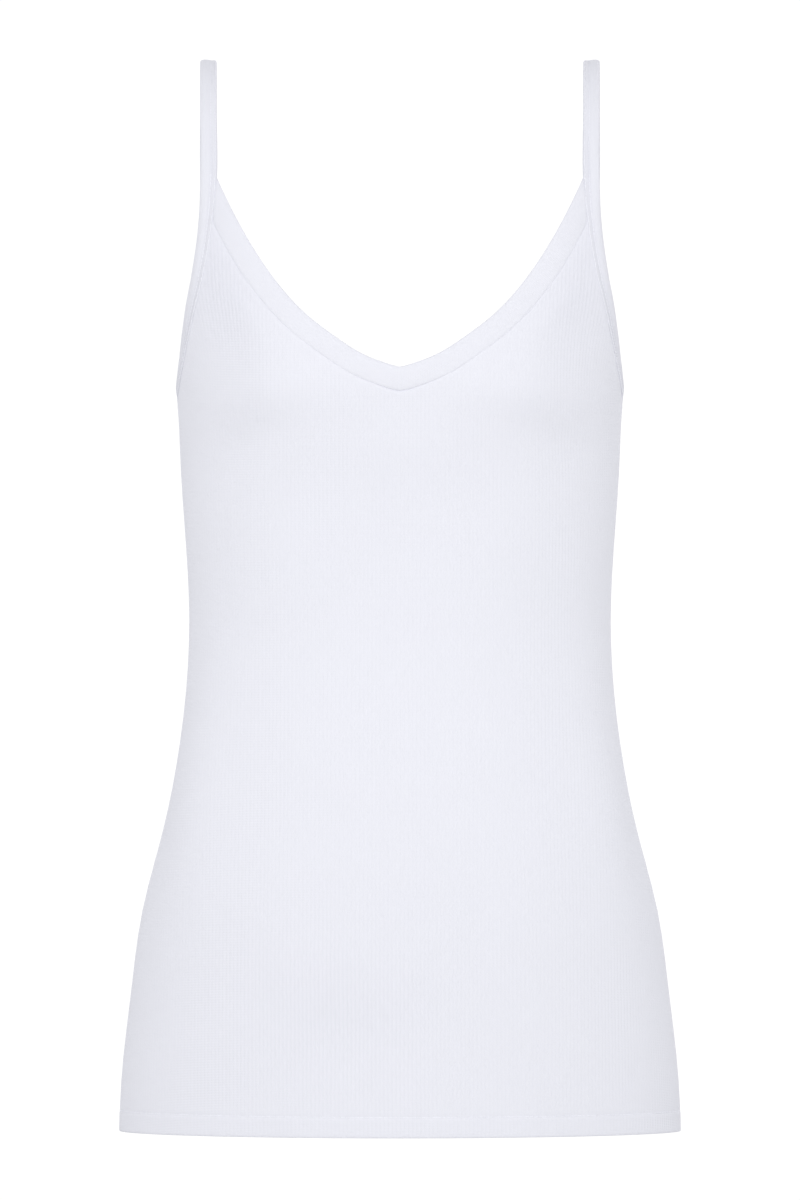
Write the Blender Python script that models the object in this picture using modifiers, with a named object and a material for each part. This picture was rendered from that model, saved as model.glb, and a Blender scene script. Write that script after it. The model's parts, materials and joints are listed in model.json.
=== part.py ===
"""Spaghetti strap top in fine rib knit, in its worn form, as the pieces that are cut and sewn.

Metres, +Z up. The front of the garment faces -Y, and the side seams lie in the plane y = 0.
The origin is midway between the two straps, where their undersides rest on the shoulders.
The wearer's left is at +X.

The cloth is laid out in pattern coordinates: a share of the half girth, which runs from 0 at the
centre line to 1 at the side seam, and a height z. Every edge is drawn there and then put on the form.
"""

import math
from typing import NamedTuple

import bmesh
import bpy
import numpy as np

# Cloth thicknesses and strip widths
WALL = 0.0012
HEM_WALL = 0.0022
HEM_DEPTH = 0.0130
HEM_STEP = 0.0006
STRIP_WALL = 0.0022
BAND_WIDTH = 0.0132
STRAP_WIDTH = 0.0102
SEAM_GAP = 0.0003

# A folded strip is fuller in its middle: share of the width, and how far the face stands out
STRIP_CROWN = ((0.0, 0.0001), (0.22, 0.0006), (0.78, 0.0006), (1.0, 0.0001))

# Heights
HEM_Z = -0.6610
UNDERARM_Z = -0.2020
BLEND_Z = -0.2400
V_POINT_Z = -0.1900
BACK_NECK_Z = -0.1940
STRAP_LEAVES_Z = -0.0720

# Front neckline, a V whose arms steepen towards the straps
V_SLOPE = 0.40
V_SOFTNESS = 0.0025
FRONT_NECK_HALF = 0.1121
FRONT_NECK_RISE = 0.1160
FRONT_NECK_POWER = 2.9

# Back neckline, a shallow scoop
BACK_NECK_HALF = 0.1114
BACK_NECK_RISE = 0.0460
BACK_NECK_POWER = 2.2
NECK_OVERRUN = 1.12

# Armholes: a quarter ellipse in the pattern, from the side seam to the strap
FRONT_ARMHOLE_RISE = 0.1180
BACK_ARMHOLE_RISE = 0.0540

# Strap centre lines, out from the middle of the garment
FRONT_STRAP_X = 0.1173
CREST_STRAP_X = 0.1187
BACK_STRAP_TOP_X = 0.1203
BACK_STRAP_LOW_X = 0.1165

# Fullness over the bust, bridged across the middle by the stretch of the knit
BUST_X = 0.078
BUST_Z = -0.194
BUST_FULLNESS = 0.014
BUST_BREADTH = 0.045
BUST_ABOVE = 0.055
BUST_BELOW = 0.038
BUST_BRIDGE_DIP = 0.35

# Mesh density
RING_SAMPLES = 129
EDGE_SAMPLES = 161
BINDING_SAMPLES = 53
NECK_COLUMNS = 11
ARMHOLE_COLUMNS = 15
BODY_ROWS = 16
CHEST_ROWS = 9
UPPER_STATIONS = 3
ARCH_STATIONS = 20
WELD = 0.00001

# Step for measuring how the cloth turns, and the least turn at which two pattern lines can cross
PROBE = 0.002
PARALLEL = 1e-15

FRONT, BACK = -1, 1


class Section(NamedTuple):
    """One ring of the form: its height, half breadth, depth in front of and behind the side seams, and
    how square it is, where 2 is an ellipse."""

    z: float
    half_breadth: float
    front: float
    back: float
    square: float


SECTIONS = (
    Section(-0.661, 0.1736, 0.1010, 0.1190, 1.85),
    Section(-0.624, 0.1720, 0.1010, 0.1185, 1.90),
    Section(-0.574, 0.1664, 0.1015, 0.1160, 1.98),
    Section(-0.524, 0.1586, 0.1020, 0.1095, 2.06),
    Section(-0.475, 0.1472, 0.1000, 0.0995, 2.13),
    Section(-0.425, 0.1370, 0.0955, 0.0880, 2.20),
    Section(-0.376, 0.1310, 0.0910, 0.0815, 2.27),
    Section(-0.341, 0.1302, 0.0905, 0.0805, 2.30),
    Section(-0.291, 0.1325, 0.0935, 0.0860, 2.38),
    Section(-0.242, 0.1358, 0.0975, 0.0945, 2.48),
    Section(-0.202, 0.1386, 0.1000, 0.0995, 2.56),
    Section(-0.165, 0.1535, 0.1005, 0.1010, 2.60),
    Section(-0.130, 0.1850, 0.0980, 0.1005, 2.60),
    Section(-0.098, 0.2150, 0.0915, 0.0965, 2.60),
    Section(-0.072, 0.2320, 0.0835, 0.0880, 2.60),
    Section(-0.045, 0.2400, 0.0730, 0.0760, 2.60),
)


class ArchPoint(NamedTuple):
    """One point of a strap's arch over the shoulder, seen from the side, on the strap's outer face."""

    y: float
    z: float


STRAP_ARCH = (
    ArchPoint(-0.0645, -0.0400),
    ArchPoint(-0.0400, -0.0130),
    ArchPoint(0.0000, 0.0022),
    ArchPoint(0.0410, -0.0115),
    ArchPoint(0.0665, -0.0400),
)


class Finish(NamedTuple):
    """Look of a cloth: linear colour and roughness."""

    name: str
    color: tuple
    roughness: float


KNIT = Finish("white_rib_knit", (0.80, 0.81, 0.88), 0.92)
STRIP = Finish("white_folded_strip", (0.84, 0.85, 0.92), 0.88)


def smooth_curve(knots, values, at):
    """Natural cubic spline through values at the knots, read at the given places."""
    knots = np.asarray(knots, float)
    values = np.asarray(values, float).reshape(len(knots), -1)
    step = np.diff(knots)
    rise = np.diff(values, axis=0) / step[:, None]
    system = np.zeros((len(knots), len(knots)))
    wanted = np.zeros_like(values)
    system[0, :2] = (2, 1)
    system[-1, -2:] = (1, 2)
    wanted[0] = 3 * rise[0]
    wanted[-1] = 3 * rise[-1]
    for i in range(1, len(knots) - 1):
        system[i, i - 1 : i + 2] = (1 / step[i - 1], 2 / step[i - 1] + 2 / step[i], 1 / step[i])
        wanted[i] = 3 * (rise[i - 1] / step[i - 1] + rise[i] / step[i])
    slope = np.linalg.solve(system, wanted)
    at = np.atleast_1d(np.asarray(at, float))
    i = np.clip(np.searchsorted(knots, at, side="right") - 1, 0, len(knots) - 2)
    run = step[i][:, None]
    t = (at - knots[i])[:, None] / run
    start, end = values[i], values[i + 1]
    leave, arrive = slope[i] * run, slope[i + 1] * run
    held = (2 * t**3 - 3 * t**2 + 1) * start + (t**3 - 2 * t**2 + t) * leave
    return held + (3 * t**2 - 2 * t**3) * end + (t**3 - t**2) * arrive


def at_marks(line, marks):
    """Points of a polyline at whole and part steps along it."""
    steps = np.arange(len(line))
    return np.stack([np.interp(marks, steps, line[:, axis]) for axis in range(line.shape[1])], axis=1)


def path_length(points):
    """Distance along a polyline to each of its points."""
    return np.concatenate([[0], np.cumsum(np.linalg.norm(np.diff(points, axis=0), axis=1))])


def bust_fullness(x, z):
    """How far the cloth stands out over the bust at a place on the front."""
    outer = np.exp(-(((x - BUST_X) / BUST_BREADTH) ** 2))
    bridge = 1 - BUST_BRIDGE_DIP * (1 + np.cos(np.pi * x / BUST_X)) / 2
    reach = BUST_ABOVE if z > BUST_Z else BUST_BELOW
    level = math.exp(-(((z - BUST_Z) / reach) ** 2))
    return BUST_FULLNESS * level * np.where(x < BUST_X, bridge, outer)


def ring(side, z):
    """Half a ring of the form, from the centre line to the side seam: x, y and the distance along it."""
    table = np.array(SECTIONS)
    half_breadth, front, back, square = smooth_curve(table[:, 0], table[:, 1:], z)[0]
    depth = front if side == FRONT else back
    angle = np.linspace(0, math.pi / 2, RING_SAMPLES)
    sine, cosine = np.sin(angle), np.abs(np.cos(angle))
    reach = ((sine / half_breadth) ** square + (cosine / depth) ** square) ** (-1 / square)
    x, y = reach * sine, reach * cosine
    if side == FRONT:
        # The fullness fades out before the side seam, so the two panels meet flush.
        y = y + bust_fullness(x, z) * cosine
    y[-1] = 0
    return x, side * y, path_length(np.stack([x, y], axis=1))


def on_cloth(side, share, z):
    """Point of the outer face of the cloth at a share of the half girth and a height."""
    x, y, run = ring(side, z)
    at = share * run[-1]
    return np.array((np.interp(at, run, x), np.interp(at, run, y), z))


def share_at_x(side, x, z):
    """Share of the half girth at which the form is x away from the centre line."""
    ring_x, _, run = ring(side, z)
    return np.interp(x, ring_x, run) / run[-1]


def spaced(side, line, count):
    """The given number of points of a pattern line, evenly spaced on the cloth."""
    line = np.asarray(line)
    run = path_length(np.array([on_cloth(side, *place) for place in line]))
    marks = np.interp(np.linspace(0, run[-1], count), run, np.arange(len(line)))
    return at_marks(line, marks)


def cloth_steps(side, share, z):
    """How far the cloth's point moves for a unit of share and for a unit of height."""
    middle = min(share, 1 - PROBE)
    sideways = on_cloth(side, middle + PROBE, z) - on_cloth(side, middle - PROBE, z)
    upwards = on_cloth(side, share, z + PROBE) - on_cloth(side, share, z - PROBE)
    return np.stack([sideways, upwards], axis=1) / (2 * PROBE)


def inset(side, edge, width, turn):
    """Edge moved sideways on the cloth by a width, to its left for turn 1 and to its right for turn -1."""
    moved = []
    for (share, z), heading in zip(edge, np.gradient(edge, axis=0)):
        steps = cloth_steps(side, share, z)
        metric = steps.T @ steps
        square = turn * np.linalg.solve(metric, (-heading[1], heading[0]))
        moved.append((share, z) + width * square / math.sqrt(square @ metric @ square))
    return np.array(moved)


def front_neckline(x, softness=V_SOFTNESS):
    """Height of the front neck edge."""
    curve = FRONT_NECK_RISE - V_SLOPE * FRONT_NECK_HALF
    arm = V_SLOPE * (np.sqrt(x**2 + softness**2) - softness)
    return V_POINT_Z + arm + curve * (x / FRONT_NECK_HALF) ** FRONT_NECK_POWER


def back_neckline(x):
    """Height of the back neck edge."""
    return BACK_NECK_Z + BACK_NECK_RISE * (x / BACK_NECK_HALF) ** BACK_NECK_POWER


def neck_edge(side, softness=V_SOFTNESS):
    """Pattern line of the neck edge, from the centre to just past the strap."""
    half = FRONT_NECK_HALF if side == FRONT else BACK_NECK_HALF
    xs = np.linspace(0, half * NECK_OVERRUN, EDGE_SAMPLES)
    heights = front_neckline(xs, softness) if side == FRONT else back_neckline(xs)
    return np.array([(share_at_x(side, x, z), z) for x, z in zip(xs, heights)])


def neck_inset(side, width):
    """Pattern line that runs a width below the neck edge, mitred at the centre."""
    line = inset(side, neck_edge(side, softness=0), width, turn=-1)[1:]
    slope = (line[1, 1] - line[0, 1]) / (line[1, 0] - line[0, 0])
    centre = (0, line[0, 1] - slope * line[0, 0])
    return np.vstack([centre, line])


def strap_x(side, z):
    """How far the strap's centre line is from the middle of the garment where it lies on the form."""
    if side == FRONT:
        return FRONT_STRAP_X
    low = UNDERARM_Z + BACK_ARMHOLE_RISE
    return np.interp(z, (low, STRAP_LEAVES_Z), (BACK_STRAP_LOW_X, BACK_STRAP_TOP_X))


def armhole_edge(side):
    """Pattern line of the armhole edge, from the side seam up to where the strap leaves the form."""
    rise = FRONT_ARMHOLE_RISE if side == FRONT else BACK_ARMHOLE_RISE
    top = UNDERARM_Z + rise
    outer_x = strap_x(side, top) + STRAP_WIDTH / 2
    girth_low, girth_top = (ring(side, z)[2][-1] for z in (UNDERARM_Z, top))
    reach = share_at_x(side, outer_x, top) * girth_top
    line = []
    for angle in np.linspace(0, math.pi / 2, EDGE_SAMPLES):
        z = UNDERARM_Z + rise * (1 - math.cos(angle))
        run = girth_low + (reach - girth_low) * math.sin(angle)
        line.append((run / ring(side, z)[2][-1], z))
    for z in np.linspace(top, STRAP_LEAVES_Z, BINDING_SAMPLES)[1:]:
        line.append((share_at_x(side, strap_x(side, z) + STRAP_WIDTH / 2, z), z))
    return spaced(side, line, EDGE_SAMPLES)


def crossing(first, second):
    """Where two pattern lines cross, as whole and part steps along each."""
    for i in range(len(first) - 1):
        along = first[i + 1] - first[i]
        for j in range(len(second) - 1):
            other = second[j + 1] - second[j]
            system = np.stack([along, -other], axis=1)
            if abs(np.linalg.det(system)) < PARALLEL:
                continue
            s, t = np.linalg.solve(system, second[j] - first[i])
            if 0 <= s <= 1 and 0 <= t <= 1:
                return i + s, j + t
    raise ValueError("these pattern lines don't cross")


class Seams(NamedTuple):
    """Pattern lines where the pieces of one side of the body meet, and the steps they are built at."""

    neck: np.ndarray
    band_foot: np.ndarray
    panel_neck: np.ndarray
    armhole: np.ndarray
    binding_foot: np.ndarray
    panel_armhole: np.ndarray
    below_band: np.ndarray
    beside_band: np.ndarray
    above_band: np.ndarray


def lay_seams(side):
    """Draw the seams of the front or the back."""
    armhole = armhole_edge(side)
    panel_armhole = inset(side, armhole, STRAP_WIDTH + SEAM_GAP, turn=1)
    lines = [neck_edge(side), neck_inset(side, BAND_WIDTH), neck_inset(side, BAND_WIDTH + SEAM_GAP)]
    corners = []
    for k, line in enumerate(lines):
        mark, corner = crossing(line, panel_armhole)
        corners.append(corner)
        kept = np.vstack([line[: int(mark) + 1], at_marks(line, [mark])])
        lines[k] = spaced(side, kept, NECK_COLUMNS + 1)
    top, foot, panel_corner = corners
    return Seams(
        neck=lines[0],
        band_foot=lines[1],
        panel_neck=lines[2],
        armhole=armhole,
        binding_foot=inset(side, armhole, STRAP_WIDTH, turn=1),
        panel_armhole=panel_armhole,
        below_band=np.linspace(0, panel_corner, ARMHOLE_COLUMNS + 1),
        beside_band=np.array([foot + share * (top - foot) for share, _ in STRIP_CROWN]),
        above_band=np.linspace(top, len(armhole) - 1, UPPER_STATIONS + 1)[1:],
    )


def panel_rows():
    """Heights of the panel's rows below the chest, with one pair at the top of the turned-up hem."""
    hem_top = HEM_Z + HEM_DEPTH
    body = np.linspace(hem_top + HEM_STEP, BLEND_Z, BODY_ROWS + 1)
    return [HEM_Z, hem_top, *body]


def make_panel(name, side, seams):
    """Half of a body panel on the form, mirrored, with its wall and its turned-up hem."""
    beside_binding = at_marks(seams.panel_armhole, seams.below_band[::-1])
    top = np.vstack([seams.panel_neck, beside_binding[1:]])
    columns = len(top)
    corner_share = share_at_x(side, on_cloth(side, *top[NECK_COLUMNS])[0], BLEND_Z)
    low = np.concatenate(
        [
            np.linspace(0, corner_share, NECK_COLUMNS + 1),
            np.linspace(corner_share, 1, ARMHOLE_COLUMNS + 1)[1:],
        ]
    )
    pattern = [[(share, z) for share in low] for z in panel_rows()]
    chest = np.linspace(0, 1, CHEST_ROWS + 1)[1:]
    start = np.stack([low, np.full(columns, BLEND_Z)], axis=1)
    pattern += [list(start + part * (top - start)) for part in chest]
    points = np.array([[on_cloth(side, *place) for place in row] for row in pattern])
    # The seam edge stops half a gap short of the plane of the side seams.
    points[:, -1, 1] = side * SEAM_GAP / 2
    panel = loft(name, points, outward=(0, side, 0), finish=KNIT)
    hem = panel.vertex_groups.new(name="hem")
    turned_up = HEM_Z + HEM_DEPTH + HEM_STEP / 2
    hem.add([v.index for v in panel.data.vertices if v.co.z < turned_up], 1.0, "REPLACE")
    add_mirror(panel)
    wall = add_wall(panel, HEM_WALL)
    wall.vertex_group = hem.name
    wall.thickness_vertex_group = WALL / HEM_WALL
    return panel


def across(inner, outer):
    """Rows of points across a strip, from its inner to its outer edge."""
    return [inner + share * (outer - inner) for share, _ in STRIP_CROWN]


def crowned(rows, turn):
    """Rows of points across a strip, moved out so that its face is fuller in the middle.

    The outer face is on the side of the cross product of the strip's run and its breadth for turn 1,
    and on the other side for turn -1.
    """
    rows = np.array(rows)
    along = np.gradient(rows.mean(axis=0), axis=0)
    face = turn * np.cross(along, rows[-1] - rows[0])
    face /= np.linalg.norm(face, axis=1)[:, None]
    lifts = np.array([lift for _, lift in STRIP_CROWN])
    return rows + lifts[:, None, None] * face


def make_neck_band(name, side, seams):
    """Folded strip along a neck edge, between the two straps."""
    pattern = np.array(across(seams.band_foot, seams.neck))
    # The end follows the curve of the binding that it meets.
    pattern[:, -1] = at_marks(seams.panel_armhole, seams.beside_band)
    rows = [[on_cloth(side, *place) for place in line] for line in pattern]
    points = crowned(rows, turn=-side)
    points[:, 0, 0] = 0
    band = loft(name, points, outward=(0, side, 0), finish=STRIP)
    add_mirror(band)
    add_wall(band, STRIP_WALL)
    return band


def armhole_strip(side, seams):
    """Inner and outer edge of the binding where it lies on the form, from underarm to shoulder."""
    marks = np.concatenate([seams.below_band, seams.beside_band, seams.above_band])
    marks = np.delete(marks, len(seams.below_band) - 1)
    edges = []
    for line in (seams.binding_foot, seams.armhole):
        edge = np.array([on_cloth(side, *place) for place in at_marks(line, marks)])
        edge[0, 1] = side * SEAM_GAP / 2
        edges.append(edge)
    return edges


def strap_arch(front, back):
    """Inner and outer edge of the strap over the shoulder, between the two stretches on the form."""
    start = [(inner + outer) / 2 for inner, outer in zip(*front)][-2:]
    end = [(inner + outer) / 2 for inner, outer in zip(*back)][:-3:-1]
    over = []
    for point in STRAP_ARCH:
        foot = end[0] if point.y > 0 else start[-1]
        x = CREST_STRAP_X + point.y / foot[1] * (foot[0] - CREST_STRAP_X)
        over.append((x, point.y, point.z))
    knots = np.array([*start, *over, *end])
    run = path_length(knots)
    at = np.linspace(run[1], run[-2], ARCH_STATIONS + 2)[1:-1]
    centre = smooth_curve(run, knots, at)
    widths = np.array([front[1][-1] - front[0][-1], back[1][-1] - back[0][-1]])
    widths /= np.linalg.norm(widths, axis=1)[:, None]
    half = []
    for place in (at - run[1]) / (run[-2] - run[1]):
        level = math.sin(math.pi * place)
        lean = (1 - place) * widths[0] + place * widths[1]
        lean = (1 - level) * lean + level * np.array((1.0, 0, 0))
        half.append(lean / np.linalg.norm(lean) * STRAP_WIDTH / 2)
    return centre - half, centre + half


def make_strap(name, hand, front, back):
    """Binding and shoulder strap of one side: up the front armhole, over and down the back."""
    arch = strap_arch(front, back)
    inner, outer = (np.vstack([front[i], arch[i], back[i][::-1]]) for i in (0, 1))
    points = crowned(across(inner, outer), turn=-1)
    points[..., 0] *= hand
    strap = loft(name, points, outward=(0, 0, 1), finish=STRIP)
    add_wall(strap, STRIP_WALL)
    return strap


def loft(name, points, outward, finish):
    """Open surface through rows of points, facing the given way at its middle."""
    rows, columns = points.shape[:2]
    shape = bmesh.new()
    bmesh.ops.create_grid(shape, x_segments=columns - 1, y_segments=rows - 1, size=1)
    for vertex in shape.verts:
        column = round((vertex.co.x + 1) / 2 * (columns - 1))
        row = round((vertex.co.y + 1) / 2 * (rows - 1))
        vertex.co = points[row, column]
    middle = points[rows // 2 - 1 : rows // 2 + 1, columns // 2 - 1 : columns // 2 + 1]
    facing = np.cross(middle[0, 1] - middle[0, 0], middle[1, 0] - middle[0, 0])
    if facing @ outward < 0:
        bmesh.ops.reverse_faces(shape, faces=shape.faces)
    mesh = bpy.data.meshes.new(name)
    shape.to_mesh(mesh)
    shape.free()
    mesh.shade_smooth()
    mesh.materials.append(material(finish))
    obj = bpy.data.objects.new(name, mesh)
    garment().objects.link(obj)
    return obj


def add_mirror(obj):
    """Join the half that was built to its mirror image across the centre line."""
    mirror = obj.modifiers.new("other_half", "MIRROR")
    mirror.use_axis = (True, False, False)
    mirror.merge_threshold = WELD


def add_wall(obj, thickness):
    """Give an open surface its thickness, inwards from its outer face."""
    wall = obj.modifiers.new("wall", "SOLIDIFY")
    wall.thickness = thickness
    wall.offset = -1
    wall.use_quality_normals = True
    return wall


def material(finish):
    """The cloth's material, made once."""
    made = bpy.data.materials.get(finish.name)
    if made is None:
        made = bpy.data.materials.new(finish.name)
        made.use_nodes = True
        shader = made.node_tree.nodes["Principled BSDF"]
        shader.inputs["Base Color"].default_value = (*finish.color, 1)
        shader.inputs["Roughness"].default_value = finish.roughness
        shader.inputs["Metallic"].default_value = 0
    return made


def garment():
    """The collection that holds the finished pieces."""
    name = "spaghetti_strap_top"
    made = bpy.data.collections.get(name)
    if made is None:
        made = bpy.data.collections.new(name)
        bpy.context.scene.collection.children.link(made)
    return made


def clear_scene():
    """Remove what the startup file holds."""
    for obj in list(bpy.data.objects):
        bpy.data.objects.remove(obj, do_unlink=True)


def main():
    """Build the six pieces, each side of the body from its own seams."""
    clear_scene()
    ends = []
    for side, name in ((FRONT, "front"), (BACK, "back")):
        seams = lay_seams(side)
        make_panel(f"{name}_panel", side, seams)
        make_neck_band(f"{name}_neck_band", side, seams)
        ends.append(armhole_strip(side, seams))
    front, back = ends
    make_strap("left_strap", 1, front, back)
    make_strap("right_strap", -1, front, back)


main()
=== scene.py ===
"""Spaghetti strap top in fine rib knit, in its worn form: knit, folded strips, seams and stitches.

Metres, +Z up. The front of the garment faces -Y, and the side seams lie in the plane y = 0.
Cloth is placed in pattern coordinates: a share of the half girth, from 0 at the centre line to 1 at
the side seam, and a height z. A pattern line is an array of such places, one to a row.
"""

import sys
import json
import logging
import math
from dataclasses import dataclass, replace
from enum import Enum
from typing import ClassVar

import bmesh
import bpy
import numpy as np
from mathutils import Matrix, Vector

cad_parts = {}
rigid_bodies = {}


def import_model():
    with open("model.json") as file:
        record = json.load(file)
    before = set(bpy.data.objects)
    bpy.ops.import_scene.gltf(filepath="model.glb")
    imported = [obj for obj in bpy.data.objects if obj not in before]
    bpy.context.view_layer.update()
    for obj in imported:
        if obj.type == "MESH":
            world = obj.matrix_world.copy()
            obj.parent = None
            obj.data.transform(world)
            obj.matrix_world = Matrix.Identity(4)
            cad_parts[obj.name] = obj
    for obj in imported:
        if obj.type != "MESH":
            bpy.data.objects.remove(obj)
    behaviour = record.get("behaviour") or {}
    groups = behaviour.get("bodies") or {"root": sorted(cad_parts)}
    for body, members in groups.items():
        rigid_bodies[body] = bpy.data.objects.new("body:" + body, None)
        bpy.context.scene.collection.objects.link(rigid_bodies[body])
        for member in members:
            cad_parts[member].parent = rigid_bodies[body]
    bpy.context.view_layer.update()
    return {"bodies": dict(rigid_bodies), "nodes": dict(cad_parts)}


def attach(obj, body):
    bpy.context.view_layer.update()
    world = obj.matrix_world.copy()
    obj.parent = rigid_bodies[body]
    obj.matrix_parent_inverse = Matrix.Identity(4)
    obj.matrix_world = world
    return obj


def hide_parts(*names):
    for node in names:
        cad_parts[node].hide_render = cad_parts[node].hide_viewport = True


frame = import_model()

BODY = "root"

log = logging.getLogger("top")


class Side(Enum):
    """Front or back of the body, by the way it faces along Y."""

    FRONT = -1
    BACK = 1


class Hand(Enum):
    """Left or right of the wearer, by the way it lies along X."""

    LEFT = 1
    RIGHT = -1


class Slot(Enum):
    """Material slots of the record."""

    KNIT = "rib_knit"
    STRIP = "folded_strip"


# Cloth sizes
WALL = 0.0012
STRAP_WIDTH = 0.0102
SEAM_GAP = 0.0003
WALE_PITCH = 0.0025
STEPS_PER_WALE = 4

# Heights
HEM_Z = -0.6610
UNDERARM_Z = -0.2020
BLEND_Z = -0.2400
STRAP_LEAVES_Z = -0.0720

# How far an edge reaches under the strip that covers it
NECK_TUCK = 0.0010
ARMHOLE_TUCK = 0.0010

# Density of the pattern lines, and the step for measuring how the cloth turns
EDGE_SAMPLES = 161
BINDING_SAMPLES = 53
PROBE = 0.002
PARALLEL = 1e-15


@dataclass(frozen=True)
class Section:
    """One ring of the form: its half breadth, its depth in front and behind, and how square it is.

    A ring that is square by 2 is an ellipse.
    """

    z: float
    half_breadth: float
    front: float
    back: float
    square: float


SECTIONS = (
    Section(-0.661, 0.1742, 0.1010, 0.1190, 1.95),
    Section(-0.624, 0.1723, 0.1010, 0.1185, 2.00),
    Section(-0.574, 0.1666, 0.1015, 0.1160, 2.07),
    Section(-0.524, 0.1595, 0.1020, 0.1095, 2.14),
    Section(-0.475, 0.1469, 0.1000, 0.0995, 2.17),
    Section(-0.425, 0.1370, 0.0955, 0.0880, 2.17),
    Section(-0.376, 0.1316, 0.0910, 0.0815, 2.18),
    Section(-0.341, 0.1306, 0.0905, 0.0805, 2.19),
    Section(-0.291, 0.1331, 0.0935, 0.0860, 2.25),
    Section(-0.242, 0.1362, 0.0975, 0.0945, 2.32),
    Section(-0.202, 0.1391, 0.1000, 0.0995, 2.56),
    Section(-0.165, 0.1535, 0.1005, 0.1010, 2.60),
    Section(-0.130, 0.1850, 0.0980, 0.1005, 2.60),
    Section(-0.098, 0.2150, 0.0915, 0.0965, 2.60),
    Section(-0.072, 0.2320, 0.0835, 0.0880, 2.60),
    Section(-0.045, 0.2400, 0.0730, 0.0760, 2.60),
)


@dataclass(frozen=True)
class Bust:
    """Fullness over the bust, bridged across the middle by the stretch of the knit."""

    x: float = 0.078
    z: float = -0.198
    fullness: float = 0.013
    breadth: float = 0.045
    above: float = 0.055
    below: float = 0.038
    bridge_dip: float = 0.35

    def lift(self, x: np.ndarray, z: float) -> np.ndarray:
        """How far the cloth stands out at places on the front.

        Args:
            x: Distances from the centre line.
            z: Height.

        Returns:
            The fullness at each place.
        """
        outer = np.exp(-(((x - self.x) / self.breadth) ** 2))
        bridge = 1 - self.bridge_dip * (1 + np.cos(np.pi * x / self.x)) / 2
        reach = self.above if z > self.z else self.below
        level = math.exp(-(((z - self.z) / reach) ** 2))
        return self.fullness * level * np.where(x < self.x, bridge, outer)


@dataclass(frozen=True)
class Cut:
    """Neckline and armhole of the front or the back."""

    neck_z: float
    neck_half: float
    neck_rise: float
    neck_power: float
    neck_slope: float
    neck_softness: float
    armhole_rise: float
    strap_low_x: float
    strap_top_x: float
    neck_sway: float
    sway_length: float = 0.047
    sway_reach: float = 0.056

    def neckline(self, x: np.ndarray, softness: float) -> np.ndarray:
        """Height of the neck edge.

        Args:
            x: Distances from the centre line.
            softness: How far the point of the V is rounded.

        Returns:
            The height at each distance.
        """
        arm = self.neck_slope * (np.sqrt(x**2 + softness**2) - softness)
        fading = np.exp(-((x / self.sway_reach) ** 4))
        arm += self.neck_sway * np.cos(2 * np.pi * x / self.sway_length) * fading
        curve = self.neck_rise - self.neck_slope * self.neck_half
        return self.neck_z + arm + curve * (x / self.neck_half) ** self.neck_power

    def strap_x(self, z: float) -> float:
        """How far the strap's centre line is from the middle where it lies on the form."""
        low = UNDERARM_Z + self.armhole_rise
        return np.interp(z, (low, STRAP_LEAVES_Z), (self.strap_low_x, self.strap_top_x))


CUTS = {
    Side.FRONT: Cut(
        neck_z=-0.1900,
        neck_half=0.1121,
        neck_rise=0.1160,
        neck_power=2.9,
        neck_slope=0.40,
        neck_softness=0.0027,
        armhole_rise=0.1180,
        strap_low_x=0.1173,
        strap_top_x=0.1173,
        neck_sway=0.0006,
    ),
    Side.BACK: Cut(
        neck_z=-0.1940,
        neck_half=0.1114,
        neck_rise=0.0460,
        neck_power=2.2,
        neck_slope=0.0,
        neck_softness=0.0035,
        armhole_rise=0.0540,
        strap_low_x=0.1165,
        strap_top_x=0.1203,
        neck_sway=0.0,
    ),
}
NECK_OVERRUN = 1.12
BAND_POINT_SOFTNESS = 0.0052


@dataclass(frozen=True)
class BandWidth:
    """Breadth of a neck band on the cloth, at one distance from the centre line."""

    x: float
    width: float


BAND_WIDTHS = {
    Side.FRONT: (
        BandWidth(0.000, 0.0162),
        BandWidth(0.030, 0.0152),
        BandWidth(0.047, 0.0148),
        BandWidth(0.066, 0.0151),
        BandWidth(0.086, 0.0156),
        BandWidth(0.105, 0.0144),
        BandWidth(0.120, 0.0139),
    ),
    Side.BACK: (BandWidth(0.000, 0.0132),),
}


@dataclass(frozen=True)
class Binding:
    """How a strap binds the armhole at one height: what it covers of the form, and how far it rolls in."""

    z: float
    cover: float
    roll_deg: float


BINDINGS = (
    Binding(-0.2020, 0.0095, 8),
    Binding(-0.1900, 0.0068, 14),
    Binding(-0.1740, 0.0060, 19),
    Binding(-0.1490, 0.0072, 21),
    Binding(-0.1370, 0.0080, 20),
    Binding(-0.0995, 0.0086, 17),
    Binding(-0.0870, 0.0096, 8),
    Binding(-0.0720, 0.0102, 0),
)


@dataclass(frozen=True)
class FlatSizes:
    """Cut sizes of what shows of one side's panel and neck band, the turn of the band's edges too."""

    panel: tuple[float, float]
    panel_area: float
    band: tuple[float, float]


@dataclass(frozen=True)
class ArchPoint:
    """One point of a strap's arch over the shoulder, seen from the side, on its outer face."""

    y: float
    z: float


CREST_STRAP_X = 0.1187
STRAP_ARCH = (
    ArchPoint(-0.0645, -0.0400),
    ArchPoint(-0.0400, -0.0130),
    ArchPoint(0.0000, 0.0022),
    ArchPoint(0.0410, -0.0115),
    ArchPoint(0.0665, -0.0400),
)


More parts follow.
